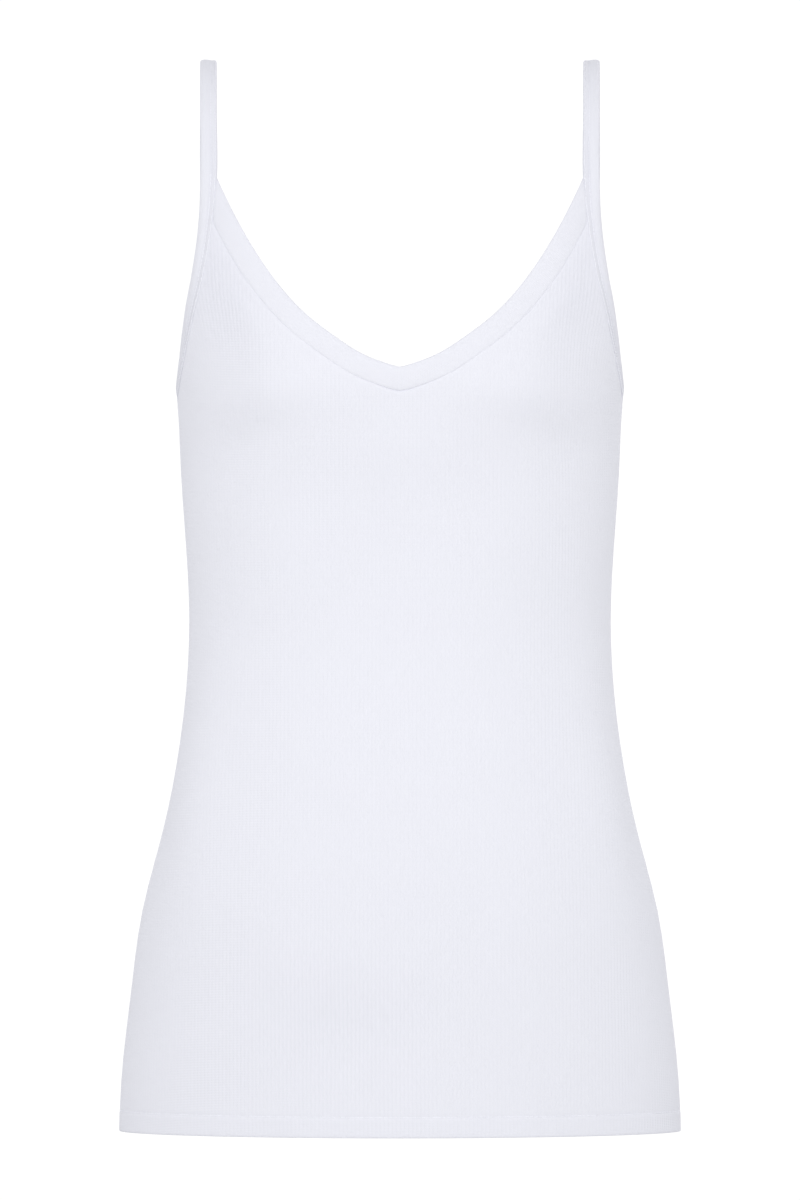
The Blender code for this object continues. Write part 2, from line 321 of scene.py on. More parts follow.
@dataclass(frozen=True)
class Fold:
    """One soft trough or ridge of a panel, placed by its middle.

    Its depth is negative for a trough. The tilt is the angle of its length above the horizontal.
    """

    across: float
    z: float
    half_length: float
    half_breadth: float
    tilt_deg: float
    depth: float

    def lift(self, across: np.ndarray, z: np.ndarray) -> np.ndarray:
        """How far the cloth is moved out at places on the panel.

        Args:
            across: Signed distances from the centre line, round the cloth.
            z: Heights.

        Returns:
            The outward move at each place.
        """
        tilt = math.radians(self.tilt_deg)
        right, up = across - self.across, z - self.z
        along = right * math.cos(tilt) + up * math.sin(tilt)
        beside = up * math.cos(tilt) - right * math.sin(tilt)
        return self.depth * np.exp(-((along / self.half_length) ** 2) - (beside / self.half_breadth) ** 2)


FOLDS = {
    Side.FRONT: (
        Fold(-0.098, -0.167, 0.030, 0.0190, -16, -0.0015),
        Fold(0.097, -0.168, 0.031, 0.0190, 16, -0.0015),
        Fold(-0.100, -0.207, 0.036, 0.0130, 6, 0.0011),
        Fold(0.099, -0.208, 0.036, 0.0130, -6, 0.0011),
        Fold(-0.102, -0.235, 0.046, 0.0120, 12, -0.0009),
        Fold(0.105, -0.236, 0.044, 0.0125, -12, -0.0009),
        Fold(0.0, -0.241, 0.060, 0.0200, 0, 0.0024),
        Fold(-0.074, -0.285, 0.060, 0.0290, 86, 0.0015),
        Fold(0.073, -0.288, 0.058, 0.0290, -86, 0.0015),
        Fold(-0.088, -0.160, 0.040, 0.0190, -78, 0.0022),
        Fold(0.089, -0.159, 0.041, 0.0190, 78, 0.0021),
        Fold(-0.030, -0.558, 0.045, 0.0200, 6, 0.0016),
        Fold(-0.024, -0.598, 0.042, 0.0190, -4, -0.0014),
        Fold(-0.138, -0.455, 0.060, 0.0280, 80, 0.0046),
        Fold(0.139, -0.450, 0.060, 0.0280, -80, 0.0044),
        Fold(-0.118, -0.244, 0.040, 0.0070, 24, -0.0007),
        Fold(-0.105, -0.258, 0.046, 0.0085, 20, 0.0005),
        Fold(0.121, -0.248, 0.036, 0.0075, -27, -0.0006),
        Fold(0.108, -0.264, 0.048, 0.0085, -18, 0.0004),
        Fold(-0.126, -0.352, 0.034, 0.0100, -8, -0.0008),
        Fold(-0.120, -0.374, 0.040, 0.0110, -12, 0.0006),
        Fold(0.129, -0.343, 0.030, 0.0095, 10, -0.0007),
        Fold(0.118, -0.380, 0.044, 0.0120, 14, 0.0006),
        Fold(0.012, -0.560, 0.030, 0.0900, 3, -0.0011),
        Fold(-0.071, -0.548, 0.026, 0.1050, -4, 0.0006),
        Fold(0.078, -0.532, 0.024, 0.1000, 5, 0.0006),
        Fold(-0.030, -0.418, 0.070, 0.0220, 4, 0.0005),
        Fold(-0.040, -0.566, 0.034, 0.0075, 28, -0.0008),
        Fold(-0.022, -0.584, 0.040, 0.0080, 20, 0.0007),
        Fold(-0.046, -0.597, 0.030, 0.0070, 34, -0.0008),
        Fold(-0.012, -0.606, 0.032, 0.0075, -16, -0.0007),
    ),
    Side.BACK: (
        Fold(-0.040, -0.340, 0.062, 0.0090, 4, -0.0013),
        Fold(-0.030, -0.360, 0.074, 0.0105, 2, 0.0010),
        Fold(0.048, -0.352, 0.058, 0.0095, -6, -0.0011),
        Fold(0.034, -0.384, 0.080, 0.0120, -3, 0.0008),
        Fold(-0.052, -0.402, 0.070, 0.0110, 8, -0.0009),
        Fold(-0.112, -0.246, 0.040, 0.0080, 22, -0.0009),
        Fold(0.115, -0.242, 0.042, 0.0085, -25, -0.0008),
        Fold(0.018, -0.250, 0.085, 0.0140, 2, -0.0007),
        Fold(-0.090, -0.560, 0.024, 0.0900, -5, 0.0007),
        Fold(0.010, -0.585, 0.028, 0.0800, 2, -0.0012),
        Fold(0.098, -0.550, 0.026, 0.0950, 4, 0.0006),
    ),
}


# Places where the ribs stand out more, with the share that they gain as the depth, which deepens the
# painted shade in their grooves too
RIB_GATHERS = {
    Side.FRONT: (
        Fold(-0.040, -0.588, 0.062, 0.0500, 0, 1.3),
        Fold(-0.112, -0.134, 0.044, 0.0210, -70, 1.5),
        Fold(0.112, -0.130, 0.042, 0.0210, 70, 1.5),
    ),
    Side.BACK: (
        Fold(0.030, -0.590, 0.070, 0.0450, 0, 0.9),
        Fold(0.0, -0.350, 0.080, 0.0400, 0, 0.6),
    ),
}
PLAIN_RIB = 0.72

# Places beside the armholes where shade is painted on the knit, with the share of shade
PAINTED_ARMHOLE_SHADE = {
    Side.FRONT: (
        Fold(-0.118, -0.122, 0.056, 0.0350, -72, 0.31),
        Fold(0.118, -0.120, 0.056, 0.0350, 72, 0.29),
    ),
    Side.BACK: (
        Fold(-0.128, -0.165, 0.040, 0.0240, -60, 0.12),
        Fold(0.127, -0.167, 0.040, 0.0240, 60, 0.12),
    ),
}


@dataclass(frozen=True)
class HemRow:
    """One row of the turned-up hem: above its edge, in from the form, and the wall's thickness."""

    rise: float
    inset: float
    wall: float


HEM_ROWS = (
    HemRow(0.0000, 0.00046, 0.0012),
    HemRow(0.0003, 0.00018, 0.0018),
    HemRow(0.0010, 0.00004, 0.0021),
    HemRow(0.0024, 0.0, 0.0023),
    HemRow(0.0060, -0.00004, 0.0023),
    HemRow(0.0094, -0.00012, 0.0024),
    HemRow(0.0112, -0.00016, 0.0024),
    HemRow(0.0121, 0.00002, 0.0021),
    HemRow(0.0128, 0.00020, 0.0018),
    HemRow(0.0136, 0.00008, 0.0018),
    HemRow(0.0150, 0.0, 0.0014),
    HemRow(0.0172, 0.0, 0.0012),
)
HEM_STITCH_RISE = 0.0128


@dataclass(frozen=True)
class PaintedSeamShade:
    """Strengths and breadths of the shade painted in lines along a panel's strips, side seams and hem
    stitches.
    """

    slant_from: float = 0.045
    slant_over: float = 0.055
    foot_breadth: float = 0.0006
    foot_spread: float = 0.0008
    foot_gain: float = 0.26
    foot_loss: float = 0.02
    slant_loss: float = 0.35
    side_shade: float = 0.45
    side_breadth: float = 0.0012
    hem_breadth: float = 0.0005
    hem_shade: float = 0.10
    dash_shade: float = 0.12
    dash_length: float = 0.0009
    drift_shade: float = 0.08
    drift_length: float = 0.0071
    drift_start: float = 0.5


@dataclass(frozen=True)
class Ditch:
    """Strength of the ditch under the strips: its base, its gain at the point of the V, its waver."""

    base: float = 0.12
    point: float = 0.70
    point_reach: float = 0.017
    back: float = 0.10
    waver: float = 0.08
    waver_length: float = 0.0031
    drift_length: float = 0.0113
    drift_start: float = 1.0

    def strength(self, side: Side, across: np.ndarray) -> np.ndarray:
        """How deep the ditch is, from 0 to 1.

        Args:
            side: Front or back.
            across: Signed distances from the centre line.

        Returns:
            The strength at each place.
        """
        point = self.back
        if side is Side.FRONT:
            point = self.point * np.exp(-((across / self.point_reach) ** 2))
        drift = np.sin(across / self.drift_length + self.drift_start)
        return self.base + point + self.waver * np.sin(across / self.waver_length) * drift


@dataclass(frozen=True)
class Wobble:
    """Slight unevenness along a strip that was guided by hand: a short wave and a long one."""

    size: float
    short_length: float
    short_share: float
    short_start: float
    long_length: float
    long_start: float

    def at(self, along: np.ndarray, shift: float = 0.0) -> np.ndarray:
        """Outward move at distances along the strip, with the short wave shifted."""
        short = np.sin(along / self.short_length + (self.short_start + shift)) * self.short_share
        return self.size * (short + np.sin(along / self.long_length + self.long_start))


@dataclass(frozen=True)
class Sewing:
    """One row of stitches: from stitch to stitch, the thread's radius, and the row's seed."""

    pitch: float
    radius: float
    seed: int


HEM_SEWING = Sewing(pitch=0.0029, radius=0.00021, seed=11)
STITCH_SHARE = 0.86

# A stitch's sides and bends, and the least and most that it is scaled along, across and up
THREAD_SIDES = 5
THREAD_STEPS = 4
STITCH_SIZES = ((0.93, 0.9, 0.85), (1.05, 1.1, 1.15))

# A strip's section points that stand out further than this belong to its face
FACE_LIFT = -0.0011


@dataclass(frozen=True)
class ProfilePoint:
    """One point of a folded strip's section.

    It is a share of the width across, and stands out by its lift, and by the swell too where the strip
    is rolled over an armhole edge. The shade darkens it, from 0 to 1.
    """

    share: float
    lift: float
    shade: float = 0.0
    swell: float = 0.0

    def height(self, wave: np.ndarray, sunk: np.ndarray, swell: np.ndarray | float = 0.0) -> np.ndarray:
        """How far the point stands out at each station.

        Args:
            wave: Unevenness of the strip's face, which dies out at its edges.
            sunk: How far the face is pressed in.
            swell: Share of the swell that the point takes on.

        Returns:
            The lift at each station.
        """
        uneven = (wave * (1 - abs(2 * self.share - 1)) - sunk) * (self.lift > FACE_LIFT)
        return self.lift + self.swell * swell + uneven

    def place(self, along: np.ndarray, width: float) -> np.ndarray:
        """Distances along and across the strip's cloth at each station."""
        return np.stack([along, np.full(len(along), self.share * width), np.zeros(len(along))], axis=1)


BAND_PROFILE = (
    ProfilePoint(0.000, -0.00115),
    ProfilePoint(0.012, -0.00050),
    ProfilePoint(0.036, -0.00002),
    ProfilePoint(0.075, 0.00028),
    ProfilePoint(0.160, 0.00050),
    ProfilePoint(0.350, 0.00062),
    ProfilePoint(0.550, 0.00064),
    ProfilePoint(0.740, 0.00058),
    ProfilePoint(0.870, 0.00038),
    ProfilePoint(0.945, 0.00006),
    ProfilePoint(0.985, -0.00040),
    ProfilePoint(1.000, -0.00100),
    ProfilePoint(0.985, -0.00165),
    ProfilePoint(0.940, -0.00205),
    ProfilePoint(0.800, -0.00220),
    ProfilePoint(0.500, -0.00220),
    ProfilePoint(0.150, -0.00220),
    ProfilePoint(0.020, -0.00195),
)

# The third column is painted shade: darker in the seam side's crevice and over the inner part between the
# rows of stitches.
STRAP_PROFILE = (
    ProfilePoint(0.000, -0.00110, 0.50),
    ProfilePoint(0.012, -0.00048, 0.50),
    ProfilePoint(0.045, 0.00018, 0.36),
    ProfilePoint(0.100, 0.00042, 0.30),
    ProfilePoint(0.160, 0.00044, 0.34),
    ProfilePoint(0.250, 0.00044, 0.38),
    ProfilePoint(0.310, 0.00048, 0.42, -0.00014),
    ProfilePoint(0.355, 0.00046, 0.46, -0.00032),
    ProfilePoint(0.405, 0.00062, 0.20, -0.00008),
    ProfilePoint(0.520, 0.00090, 0.0, 0.00020),
    ProfilePoint(0.650, 0.00098, 0.0, 0.00026),
    ProfilePoint(0.760, 0.00092, 0.0, 0.00016),
    ProfilePoint(0.850, 0.00078, 0.0, 0.0),
    ProfilePoint(0.920, 0.00050, 0.0, -0.00018),
    ProfilePoint(0.968, 0.00010, 0.0, -0.00030),
    ProfilePoint(0.994, -0.00046, 0.0, -0.00016),
    ProfilePoint(1.000, -0.00105),
    ProfilePoint(0.988, -0.00170),
    ProfilePoint(0.940, -0.00210),
    ProfilePoint(0.800, -0.00220),
    ProfilePoint(0.500, -0.00220),
    ProfilePoint(0.150, -0.00220),
    ProfilePoint(0.025, -0.00195, 0.30),
)
STRAP_STITCH_SHARES = (0.100, 0.355)


@dataclass(frozen=True)
class EdgeEase:
    """How far a strap's outer edge lies beyond the plain strip's, at one height."""

    z: float
    out: float


STRAP_EASE = (
    EdgeEase(-0.202, -0.0006),
    EdgeEase(-0.190, -0.0004),
    EdgeEase(-0.175, 0.0008),
    EdgeEase(-0.150, 0.0009),
    EdgeEase(-0.110, 0.0006),
    EdgeEase(-0.085, 0.0003),
    EdgeEase(-0.070, 0.0001),
)


def smooth_curve(knots: np.ndarray, values: np.ndarray, at: np.ndarray) -> np.ndarray:
    """Natural cubic spline through values at the knots.

    Args:
        knots: Rising places of the knots.
        values: One row of values for each knot.
        at: Places to read.

    Returns:
        One row of values for each place.
    """
    knots = np.asarray(knots, float)
    values = np.asarray(values, float).reshape(len(knots), -1)
    step = np.diff(knots)
    rise = np.diff(values, axis=0) / step[:, None]
    system = np.zeros((len(knots), len(knots)))
    wanted = np.zeros_like(values)
    system[0, :2] = (2, 1)
    system[-1, -2:] = (1, 2)
    wanted[0] = 3 * rise[0]
    wanted[-1] = 3 * rise[-1]
    for i in range(1, len(knots) - 1):
        system[i, i - 1 : i + 2] = (1 / step[i - 1], 2 / step[i - 1] + 2 / step[i], 1 / step[i])
        wanted[i] = 3 * (rise[i - 1] / step[i - 1] + rise[i] / step[i])
    slope = np.linalg.solve(system, wanted)
    at = np.atleast_1d(np.asarray(at, float))
    i = np.clip(np.searchsorted(knots, at, side="right") - 1, 0, len(knots) - 2)
    run = step[i][:, None]
    t = (at - knots[i])[:, None] / run
    start, end = values[i], values[i + 1]
    leave, arrive = slope[i] * run, slope[i + 1] * run
    held = (2 * t**3 - 3 * t**2 + 1) * start + (t**3 - 2 * t**2 + t) * leave
    return held + (3 * t**2 - 2 * t**3) * end + (t**3 - t**2) * arrive


def read_table(rows: tuple, key: str, value: str, at: np.ndarray) -> np.ndarray:
    """One column of a table of rows, read between its rows by another column."""
    return np.interp(at, [getattr(row, key) for row in rows], [getattr(row, value) for row in rows])


def path_length(points: np.ndarray) -> np.ndarray:
    """Distance along a polyline to each of its points."""
    return np.concatenate([[0], np.cumsum(np.linalg.norm(np.diff(points, axis=0), axis=1))])


def at_marks(line: np.ndarray, marks: np.ndarray) -> np.ndarray:
    """Points of a polyline at whole and part steps along it."""
    steps = np.arange(len(line))
    return np.stack([np.interp(marks, steps, line[:, axis]) for axis in range(line.shape[1])], axis=1)


def fade(distance: np.ndarray, width: float) -> np.ndarray:
    """1 at no distance, and smoothly down to 0 at the width."""
    t = np.clip(np.asarray(distance) / width, 0, 1)
    return 1 - t * t * (3 - 2 * t)


def unit(vectors: np.ndarray) -> np.ndarray:
    """The vectors in their last axis, at length 1."""
    return vectors / np.linalg.norm(vectors, axis=-1, keepdims=True)


def handed(across: np.ndarray) -> np.ndarray:
    """Factors that carry points of the wearer's left half over to the right where across is negative."""
    return np.where(across < 0, -1.0, 1.0)[..., None] * (1, 0, 0) + (0, 1, 1)


class Form:
    """Worn form of the cloth, tabled by height and by share of the half girth."""

    LOW, HIGH = -0.664, -0.030
    LEVELS = 640
    AROUND = 721
    ANGLES = 1441

    def __init__(self) -> None:
        """Table both sides of the form."""
        self.heights = np.linspace(self.LOW, self.HIGH, self.LEVELS)
        self.shares = np.linspace(0, 1, self.AROUND)
        self.rings: dict[Side, np.ndarray] = {}
        self.girths: dict[Side, np.ndarray] = {}
        bust = Bust()
        knots = [section.z for section in SECTIONS]
        sizes = [(s.half_breadth, s.front, s.back, s.square) for s in SECTIONS]
        levels = smooth_curve(knots, sizes, self.heights)
        angle = np.linspace(0, math.pi / 2, self.ANGLES)
        sine, cosine = np.sin(angle), np.abs(np.cos(angle))
        for side in Side:
            rings = np.empty((self.LEVELS, self.AROUND, 2))
            girths = np.empty(self.LEVELS)
            for k, (z, (half_breadth, front, back, square)) in enumerate(zip(self.heights, levels)):
                depth = front if side is Side.FRONT else back
                reach = ((sine / half_breadth) ** square + (cosine / depth) ** square) ** (-1 / square)
                x, y = reach * sine, reach * cosine
                if side is Side.FRONT:
                    y = y + bust.lift(x, z) * cosine
                y[-1] = 0
                run = path_length(np.stack([x, y], axis=1))
                girths[k] = run[-1]
                rings[k, :, 0] = np.interp(self.shares * run[-1], run, x)
                rings[k, :, 1] = side.value * np.interp(self.shares * run[-1], run, y)
            self.rings[side] = rings
            self.girths[side] = girths

    def girth(self, side: Side, z: np.ndarray) -> np.ndarray:
        """Distance round the cloth from the centre line to the side seam."""
        return np.interp(z, self.heights, self.girths[side])

    def at(self, side: Side, share: np.ndarray, z: np.ndarray) -> np.ndarray:
        """Points of the cloth's outer face.

        Args:
            side: Front or back.
            share: Shares of the half girth.
            z: Heights.

        Returns:
            The points, in a new last axis.
        """
        share, z = np.broadcast_arrays(np.asarray(share, float), np.asarray(z, float))
        level = np.interp(z, self.heights, np.arange(self.LEVELS))
        low = np.minimum(level.astype(int), self.LEVELS - 2)
        column = np.clip(share, 0, 1) * (self.AROUND - 1)
        left = np.minimum(column.astype(int), self.AROUND - 2)
        up, right = (level - low)[..., None], (column - left)[..., None]
        table = self.rings[side]
        lower = table[low, left] * (1 - right) + table[low, left + 1] * right
        upper = table[low + 1, left] * (1 - right) + table[low + 1, left + 1] * right
        flat = lower * (1 - up) + upper * up
        return np.concatenate([flat, z[..., None]], axis=-1)

    def steps(self, side: Side, share: np.ndarray, z: np.ndarray) -> tuple[np.ndarray, np.ndarray]:
        """How the cloth runs sideways and upwards.

        Args:
            side: Front or back.
            share: Shares of the half girth.
            z: Heights.

        Returns:
            How far its point moves for a unit of share, and for a unit of height.
        """
        middle = np.clip(share, PROBE, 1 - PROBE)
        sideways = self.at(side, middle + PROBE, z) - self.at(side, middle - PROBE, z)
        upwards = self.at(side, share, z + PROBE) - self.at(side, share, z - PROBE)
        return sideways / (2 * PROBE), upwards / (2 * PROBE)

    def facing(self, side: Side, share: np.ndarray, z: np.ndarray) -> np.ndarray:
        """Directions that the cloth's outer face looks in."""
        sideways, upwards = self.steps(side, share, z)
        return unit(-side.value * np.cross(sideways, upwards))

    def share_at_x(self, side: Side, x: float, z: float) -> float:
        """Share of the half girth at which the form is x away from the centre line.

        Args:
            side: Front or back.
            x: The distance.
            z: Height.

        Returns:
            The share.
        """
        level = float(np.interp(z, self.heights, np.arange(self.LEVELS)))
        low = min(int(level), self.LEVELS - 2)
        ring = self.rings[side]
        row = ring[low, :, 0] * (1 - level + low) + ring[low + 1, :, 0] * (level - low)
        return float(np.interp(x, row, self.shares))


class SeamLines:
    """Pattern lines of the front or the back, from which its pieces are made."""

    def __init__(self, form: Form, side: Side) -> None:
        """Draw the neck edge and the armhole edge.

        Args:
            form: The worn form.
            side: Front or back.
        """
        self.form = form
        self.side = side
        self.cut = CUTS[side]
        self.armhole = self._armhole_edge()
        self.neck = self._neck_edge(self.cut.neck_softness)

    def _neck_edge(self, softness: float) -> np.ndarray:
        """Draw the neck edge, from the centre to just past the strap.

        Args:
            softness: How far the point of the V is rounded.

        Returns:
            The pattern line.
        """
        xs = np.linspace(0, self.cut.neck_half * NECK_OVERRUN, EDGE_SAMPLES)
        heights = self.cut.neckline(xs, softness)
        return np.array([(self.form.share_at_x(self.side, x, z), z) for x, z in zip(xs, heights)])

    def _armhole_edge(self) -> np.ndarray:
        """Draw the armhole edge, from the side seam to where the strap leaves the form.

        Returns:
            The pattern line.
        """
        top = UNDERARM_Z + self.cut.armhole_rise
        outer_x = self.cut.strap_x(top) + STRAP_WIDTH / 2
        girth_low = self.form.girth(self.side, UNDERARM_Z)
        reach = self.form.share_at_x(self.side, outer_x, top) * self.form.girth(self.side, top)
        line = []
        for angle in np.linspace(0, math.pi / 2, EDGE_SAMPLES):
            z = UNDERARM_Z + self.cut.armhole_rise * (1 - math.cos(angle))
            run = girth_low + (reach - girth_low) * math.sin(angle)
            line.append((run / self.form.girth(self.side, z), z))
        for z in np.linspace(top, STRAP_LEAVES_Z, BINDING_SAMPLES)[1:]:
            x = self.cut.strap_x(z) + STRAP_WIDTH / 2
            line.append((self.form.share_at_x(self.side, x, z), z))
        return self.spaced(np.array(line), EDGE_SAMPLES)

    def on_cloth(self, line: np.ndarray) -> np.ndarray:
        """Points of the cloth's outer face along a pattern line."""
        return self.form.at(self.side, line[:, 0], line[:, 1])

    def spaced(self, line: np.ndarray, count: int) -> np.ndarray:
        """Space a pattern line evenly on the cloth.

        Args:
            line: The line.
            count: Number of places wanted.

        Returns:
            The spaced line.
        """
        run = path_length(self.on_cloth(line))
        marks = np.interp(np.linspace(0, run[-1], count), run, np.arange(len(line)))
        return at_marks(line, marks)

    def inset(self, line: np.ndarray, widths: np.ndarray, turn: int) -> np.ndarray:
        """Pattern line moved sideways on the cloth.

        Args:
            line: The line to move.
            widths: How far each of its places is moved.
            turn: 1 moves it to its left, and -1 to its right.

        Returns:
            The moved line, place for place.
        """
        sideways, upwards = self.form.steps(self.side, line[:, 0], line[:, 1])
        moved = []
        headings = np.gradient(line, axis=0)
        for place, heading, across, up, width in zip(line, headings, sideways, upwards, widths):
            steps = np.stack([across, up], axis=1)
            metric = steps.T @ steps
            square = turn * np.linalg.solve(metric, (-heading[1], heading[0]))
            moved.append(place + width * square / math.sqrt(square @ metric @ square))
        return np.array(moved)

    def below_neck(self, extra: float = 0.0) -> np.ndarray:
        """Draw the neck band's foot, with its point rounded.

        Args:
            extra: How much further down it is moved.

        Returns:
            The pattern line.
        """
        edge = self._neck_edge(0)
        x = self.on_cloth(edge)[:, 0]
        widths = read_table(BAND_WIDTHS[self.side], "x", "width", x) + extra
        line = self.inset(edge, widths, turn=-1)[1:]
        slope = (line[1, 1] - line[0, 1]) / (line[1, 0] - line[0, 0])
        line = np.vstack([(0, line[0, 1] - slope * line[0, 0]), line])
        softness = BAND_POINT_SOFTNESS / self.form.girth(self.side, line[0, 1])
        line[:, 1] += slope * (np.sqrt(line[:, 0] ** 2 + softness**2) - line[:, 0])
        return line

    def inside_armhole(self, extra: float = 0.0) -> np.ndarray:
        """Pattern line of the inner edge of the armhole's binding, moved a little further."""
        covers = read_table(BINDINGS, "z", "cover", self.armhole[:, 1])
        return self.inset(self.armhole, covers + extra, turn=1)


def crossing(first: np.ndarray, second: np.ndarray) -> tuple[float, float]:
    """Where two pattern lines cross.

    Args:
        first: One line.
        second: The other line.

    Returns:
        Whole and part steps along each.
    """
    for i in range(len(first) - 1):
        along = first[i + 1] - first[i]
        for j in range(len(second) - 1):
            other = second[j + 1] - second[j]
            system = np.stack([along, -other], axis=1)
            if abs(np.linalg.det(system)) < PARALLEL:
                continue
            s, t = np.linalg.solve(system, second[j] - first[i])
            if 0 <= s <= 1 and 0 <= t <= 1:
                return i + s, j + t
    raise ValueError("these pattern lines don't cross")


def up_to(line: np.ndarray, mark: float) -> np.ndarray:
    """The start of a line, as far as a mark along it."""
    return np.vstack([line[: int(mark) + 1], at_marks(line, [mark])])


class Graph:
    """Nodes and links of one tree, laid out in the order in which they are added."""

    SPREAD = 190
    ROW_LENGTH = 9

    def __init__(self, tree: bpy.types.NodeTree) -> None:
        """Start with the tree's own nodes removed."""
        self.tree = tree
        tree.nodes.clear()

    def node(self, kind: str, inputs: dict | None = None, **settings: object) -> bpy.types.Node:
        """Add a node.

        Args:
            kind: Blender's name for the kind of node.
            inputs: What each input holds or is linked to, by its name or number.
            settings: The node's own properties.

        Returns:
            The node.
        """
        made = self.tree.nodes.new(kind)
        count = len(self.tree.nodes)
        made.location = (self.SPREAD * (count % self.ROW_LENGTH), -self.SPREAD * (count // self.ROW_LENGTH))
        for key, value in settings.items():
            setattr(made, key, value)
        for key, value in (inputs or {}).items():
            if isinstance(value, bpy.types.NodeSocket):
                self.tree.links.new(value, made.inputs[key])
            else:
                made.inputs[key].default_value = value
        return made

    def math(self, operation: str, *values: object) -> bpy.types.NodeSocket:
        """Result of a math node on numbers or sockets."""
        return self.node("ShaderNodeMath", dict(enumerate(values)), operation=operation).outputs[0]

    def mix(self, share: object, first: object, second: object, blend: str = "MIX") -> bpy.types.NodeSocket:
        """Mix of two colours by a share."""
        inputs = {0: share, 6: first, 7: second}
        return self.node("ShaderNodeMix", inputs, data_type="RGBA", blend_type=blend).outputs[2]

    def stored(self, name: str, kind: str = "FLOAT_VECTOR") -> bpy.types.NodeSocket:
        """Value that points carry under a name, in a Geometry Nodes tree."""
        return self.node("GeometryNodeInputNamedAttribute", {"Name": name}, data_type=kind).outputs[0]

    def finish_geometry(self, geometry: bpy.types.NodeSocket, material: bpy.types.NodeSocket) -> None:
        """End a Geometry Nodes tree: realize its instances and set its material.

        Args:
            geometry: What the tree has made.
            material: The tree's own material input.
        """
        realized = self.node("GeometryNodeRealizeInstances", {0: geometry}).outputs[0]
        inputs = {"Geometry": realized, "Material": material}
        finished = self.node("GeometryNodeSetMaterial", inputs).outputs[0]
        self.node("NodeGroupOutput", {"Geometry": finished})

    def sockets(self, inputs: dict[str, object], outputs: dict[str, str]) -> bpy.types.bpy_prop_collection:
        """Name a group's inputs and outputs.

        Args:
            inputs: What each input holds at first, or else Blender's name for its kind.
            outputs: Blender's name for the kind of each output.

        Returns:
            The sockets that the inputs come out of, by their names.
        """
        interface = self.tree.interface
        for name, value in inputs.items():
            is_kind = isinstance(value, str)
            kind = value if is_kind else SOCKET_KINDS[type(value)]
            made = interface.new_socket(name, in_out="INPUT", socket_type=kind)
            if not is_kind:
                made.default_value = value
        for name, kind in outputs.items():
            interface.new_socket(name, in_out="OUTPUT", socket_type=kind)
        return self.node("NodeGroupInput").outputs


FLOAT, VECTOR, COLOR = "NodeSocketFloat", "NodeSocketVector", "NodeSocketColor"
GEOMETRY, MATERIAL = "NodeSocketGeometry", "NodeSocketMaterial"
SOCKET_KINDS = {float: FLOAT, int: "NodeSocketInt", tuple: COLOR}


def knit_loops_group() -> bpy.types.NodeTree:
    """Build the shader group for a knitted face: rows of small V loops, as a height.

    Returns:
        The group.
    """
    tree = bpy.data.node_groups.new("knit_loops", "ShaderNodeTree")
    graph = Graph(tree)
    sizes = {"Loop Width": 0.00062, "Course Height": 0.00052, "Lean": 0.9}
    given = graph.sockets({"Place": VECTOR, **sizes}, {"Height": FLOAT})
    place = graph.node("ShaderNodeSeparateXYZ", {0: given["Place"]}).outputs
    column = graph.math("FRACT", graph.math("DIVIDE", place["X"], given["Loop Width"]))
    from_middle = graph.math("ABSOLUTE", graph.math("SUBTRACT", column, 0.5))
    leg = graph.math("MULTIPLY", from_middle, given["Lean"])
    course = graph.math("DIVIDE", place["Y"], given["Course Height"])
    turn = graph.math("MULTIPLY", graph.math("SUBTRACT", course, leg), 2 * math.pi)
    yarn = graph.math("MULTIPLY_ADD", graph.math("SINE", turn), 0.5, 0.5)
    side = graph.math("MULTIPLY", from_middle, 2)
    gap = graph.math("SUBTRACT", 1, graph.math("POWER", side, 4))
    height = graph.math("MULTIPLY", yarn, gap)
    graph.node("NodeGroupOutput", {"Height": height})
    return tree


def cloth_tone_group() -> bpy.types.NodeTree:
    """Build the shader group for cloth's colour: soft patches, with painted shade in its grooves, along its
    seams and over other shaded places.

    Returns:
        The group.
    """
    tree = bpy.data.node_groups.new("cloth_tone", "ShaderNodeTree")
    graph = Graph(tree)
    inputs = {
        "Color": (0.8, 0.8, 0.85, 1),
        "Groove Shade Color": (0.7, 0.7, 0.76, 1),
        "Groove": 0.0,
        "Painted Shade Color": (0.6, 0.6, 0.66, 1),
        "Seam": 0.0,
        "Place": VECTOR,
        "Patch Size": 0.05,
        "Patch Amount": 0.02,
        "Patch Detail": 3.0,
        "Patch Roughness": 0.55,
        "Roughness": 0.9,
    }
    given = graph.sockets(inputs, {"Color": COLOR, "Roughness": FLOAT})
    scale = graph.math("DIVIDE", 1, given["Patch Size"])
    noise = {
        "Vector": given["Place"],
        "Scale": scale,
        "Detail": given["Patch Detail"],
        "Roughness": given["Patch Roughness"],
    }
    patch = graph.node("ShaderNodeTexNoise", noise).outputs[0]
    swing = graph.math("MULTIPLY", graph.math("SUBTRACT", patch, 0.5), given["Patch Amount"])
    with_groove_shade = graph.mix(given["Groove"], given["Color"], given["Groove Shade Color"])
    with_painted_shade = graph.mix(given["Seam"], with_groove_shade, given["Painted Shade Color"])
    bright = graph.math("ADD", 1, swing)
    shade = graph.node("ShaderNodeCombineXYZ", {0: bright, 1: bright, 2: bright}).outputs[0]
    color = graph.mix(1.0, with_painted_shade, shade, blend="MULTIPLY")
    rough = graph.math("ADD", given["Roughness"], swing)
    graph.node("NodeGroupOutput", {"Color": color, "Roughness": rough})
    return tree


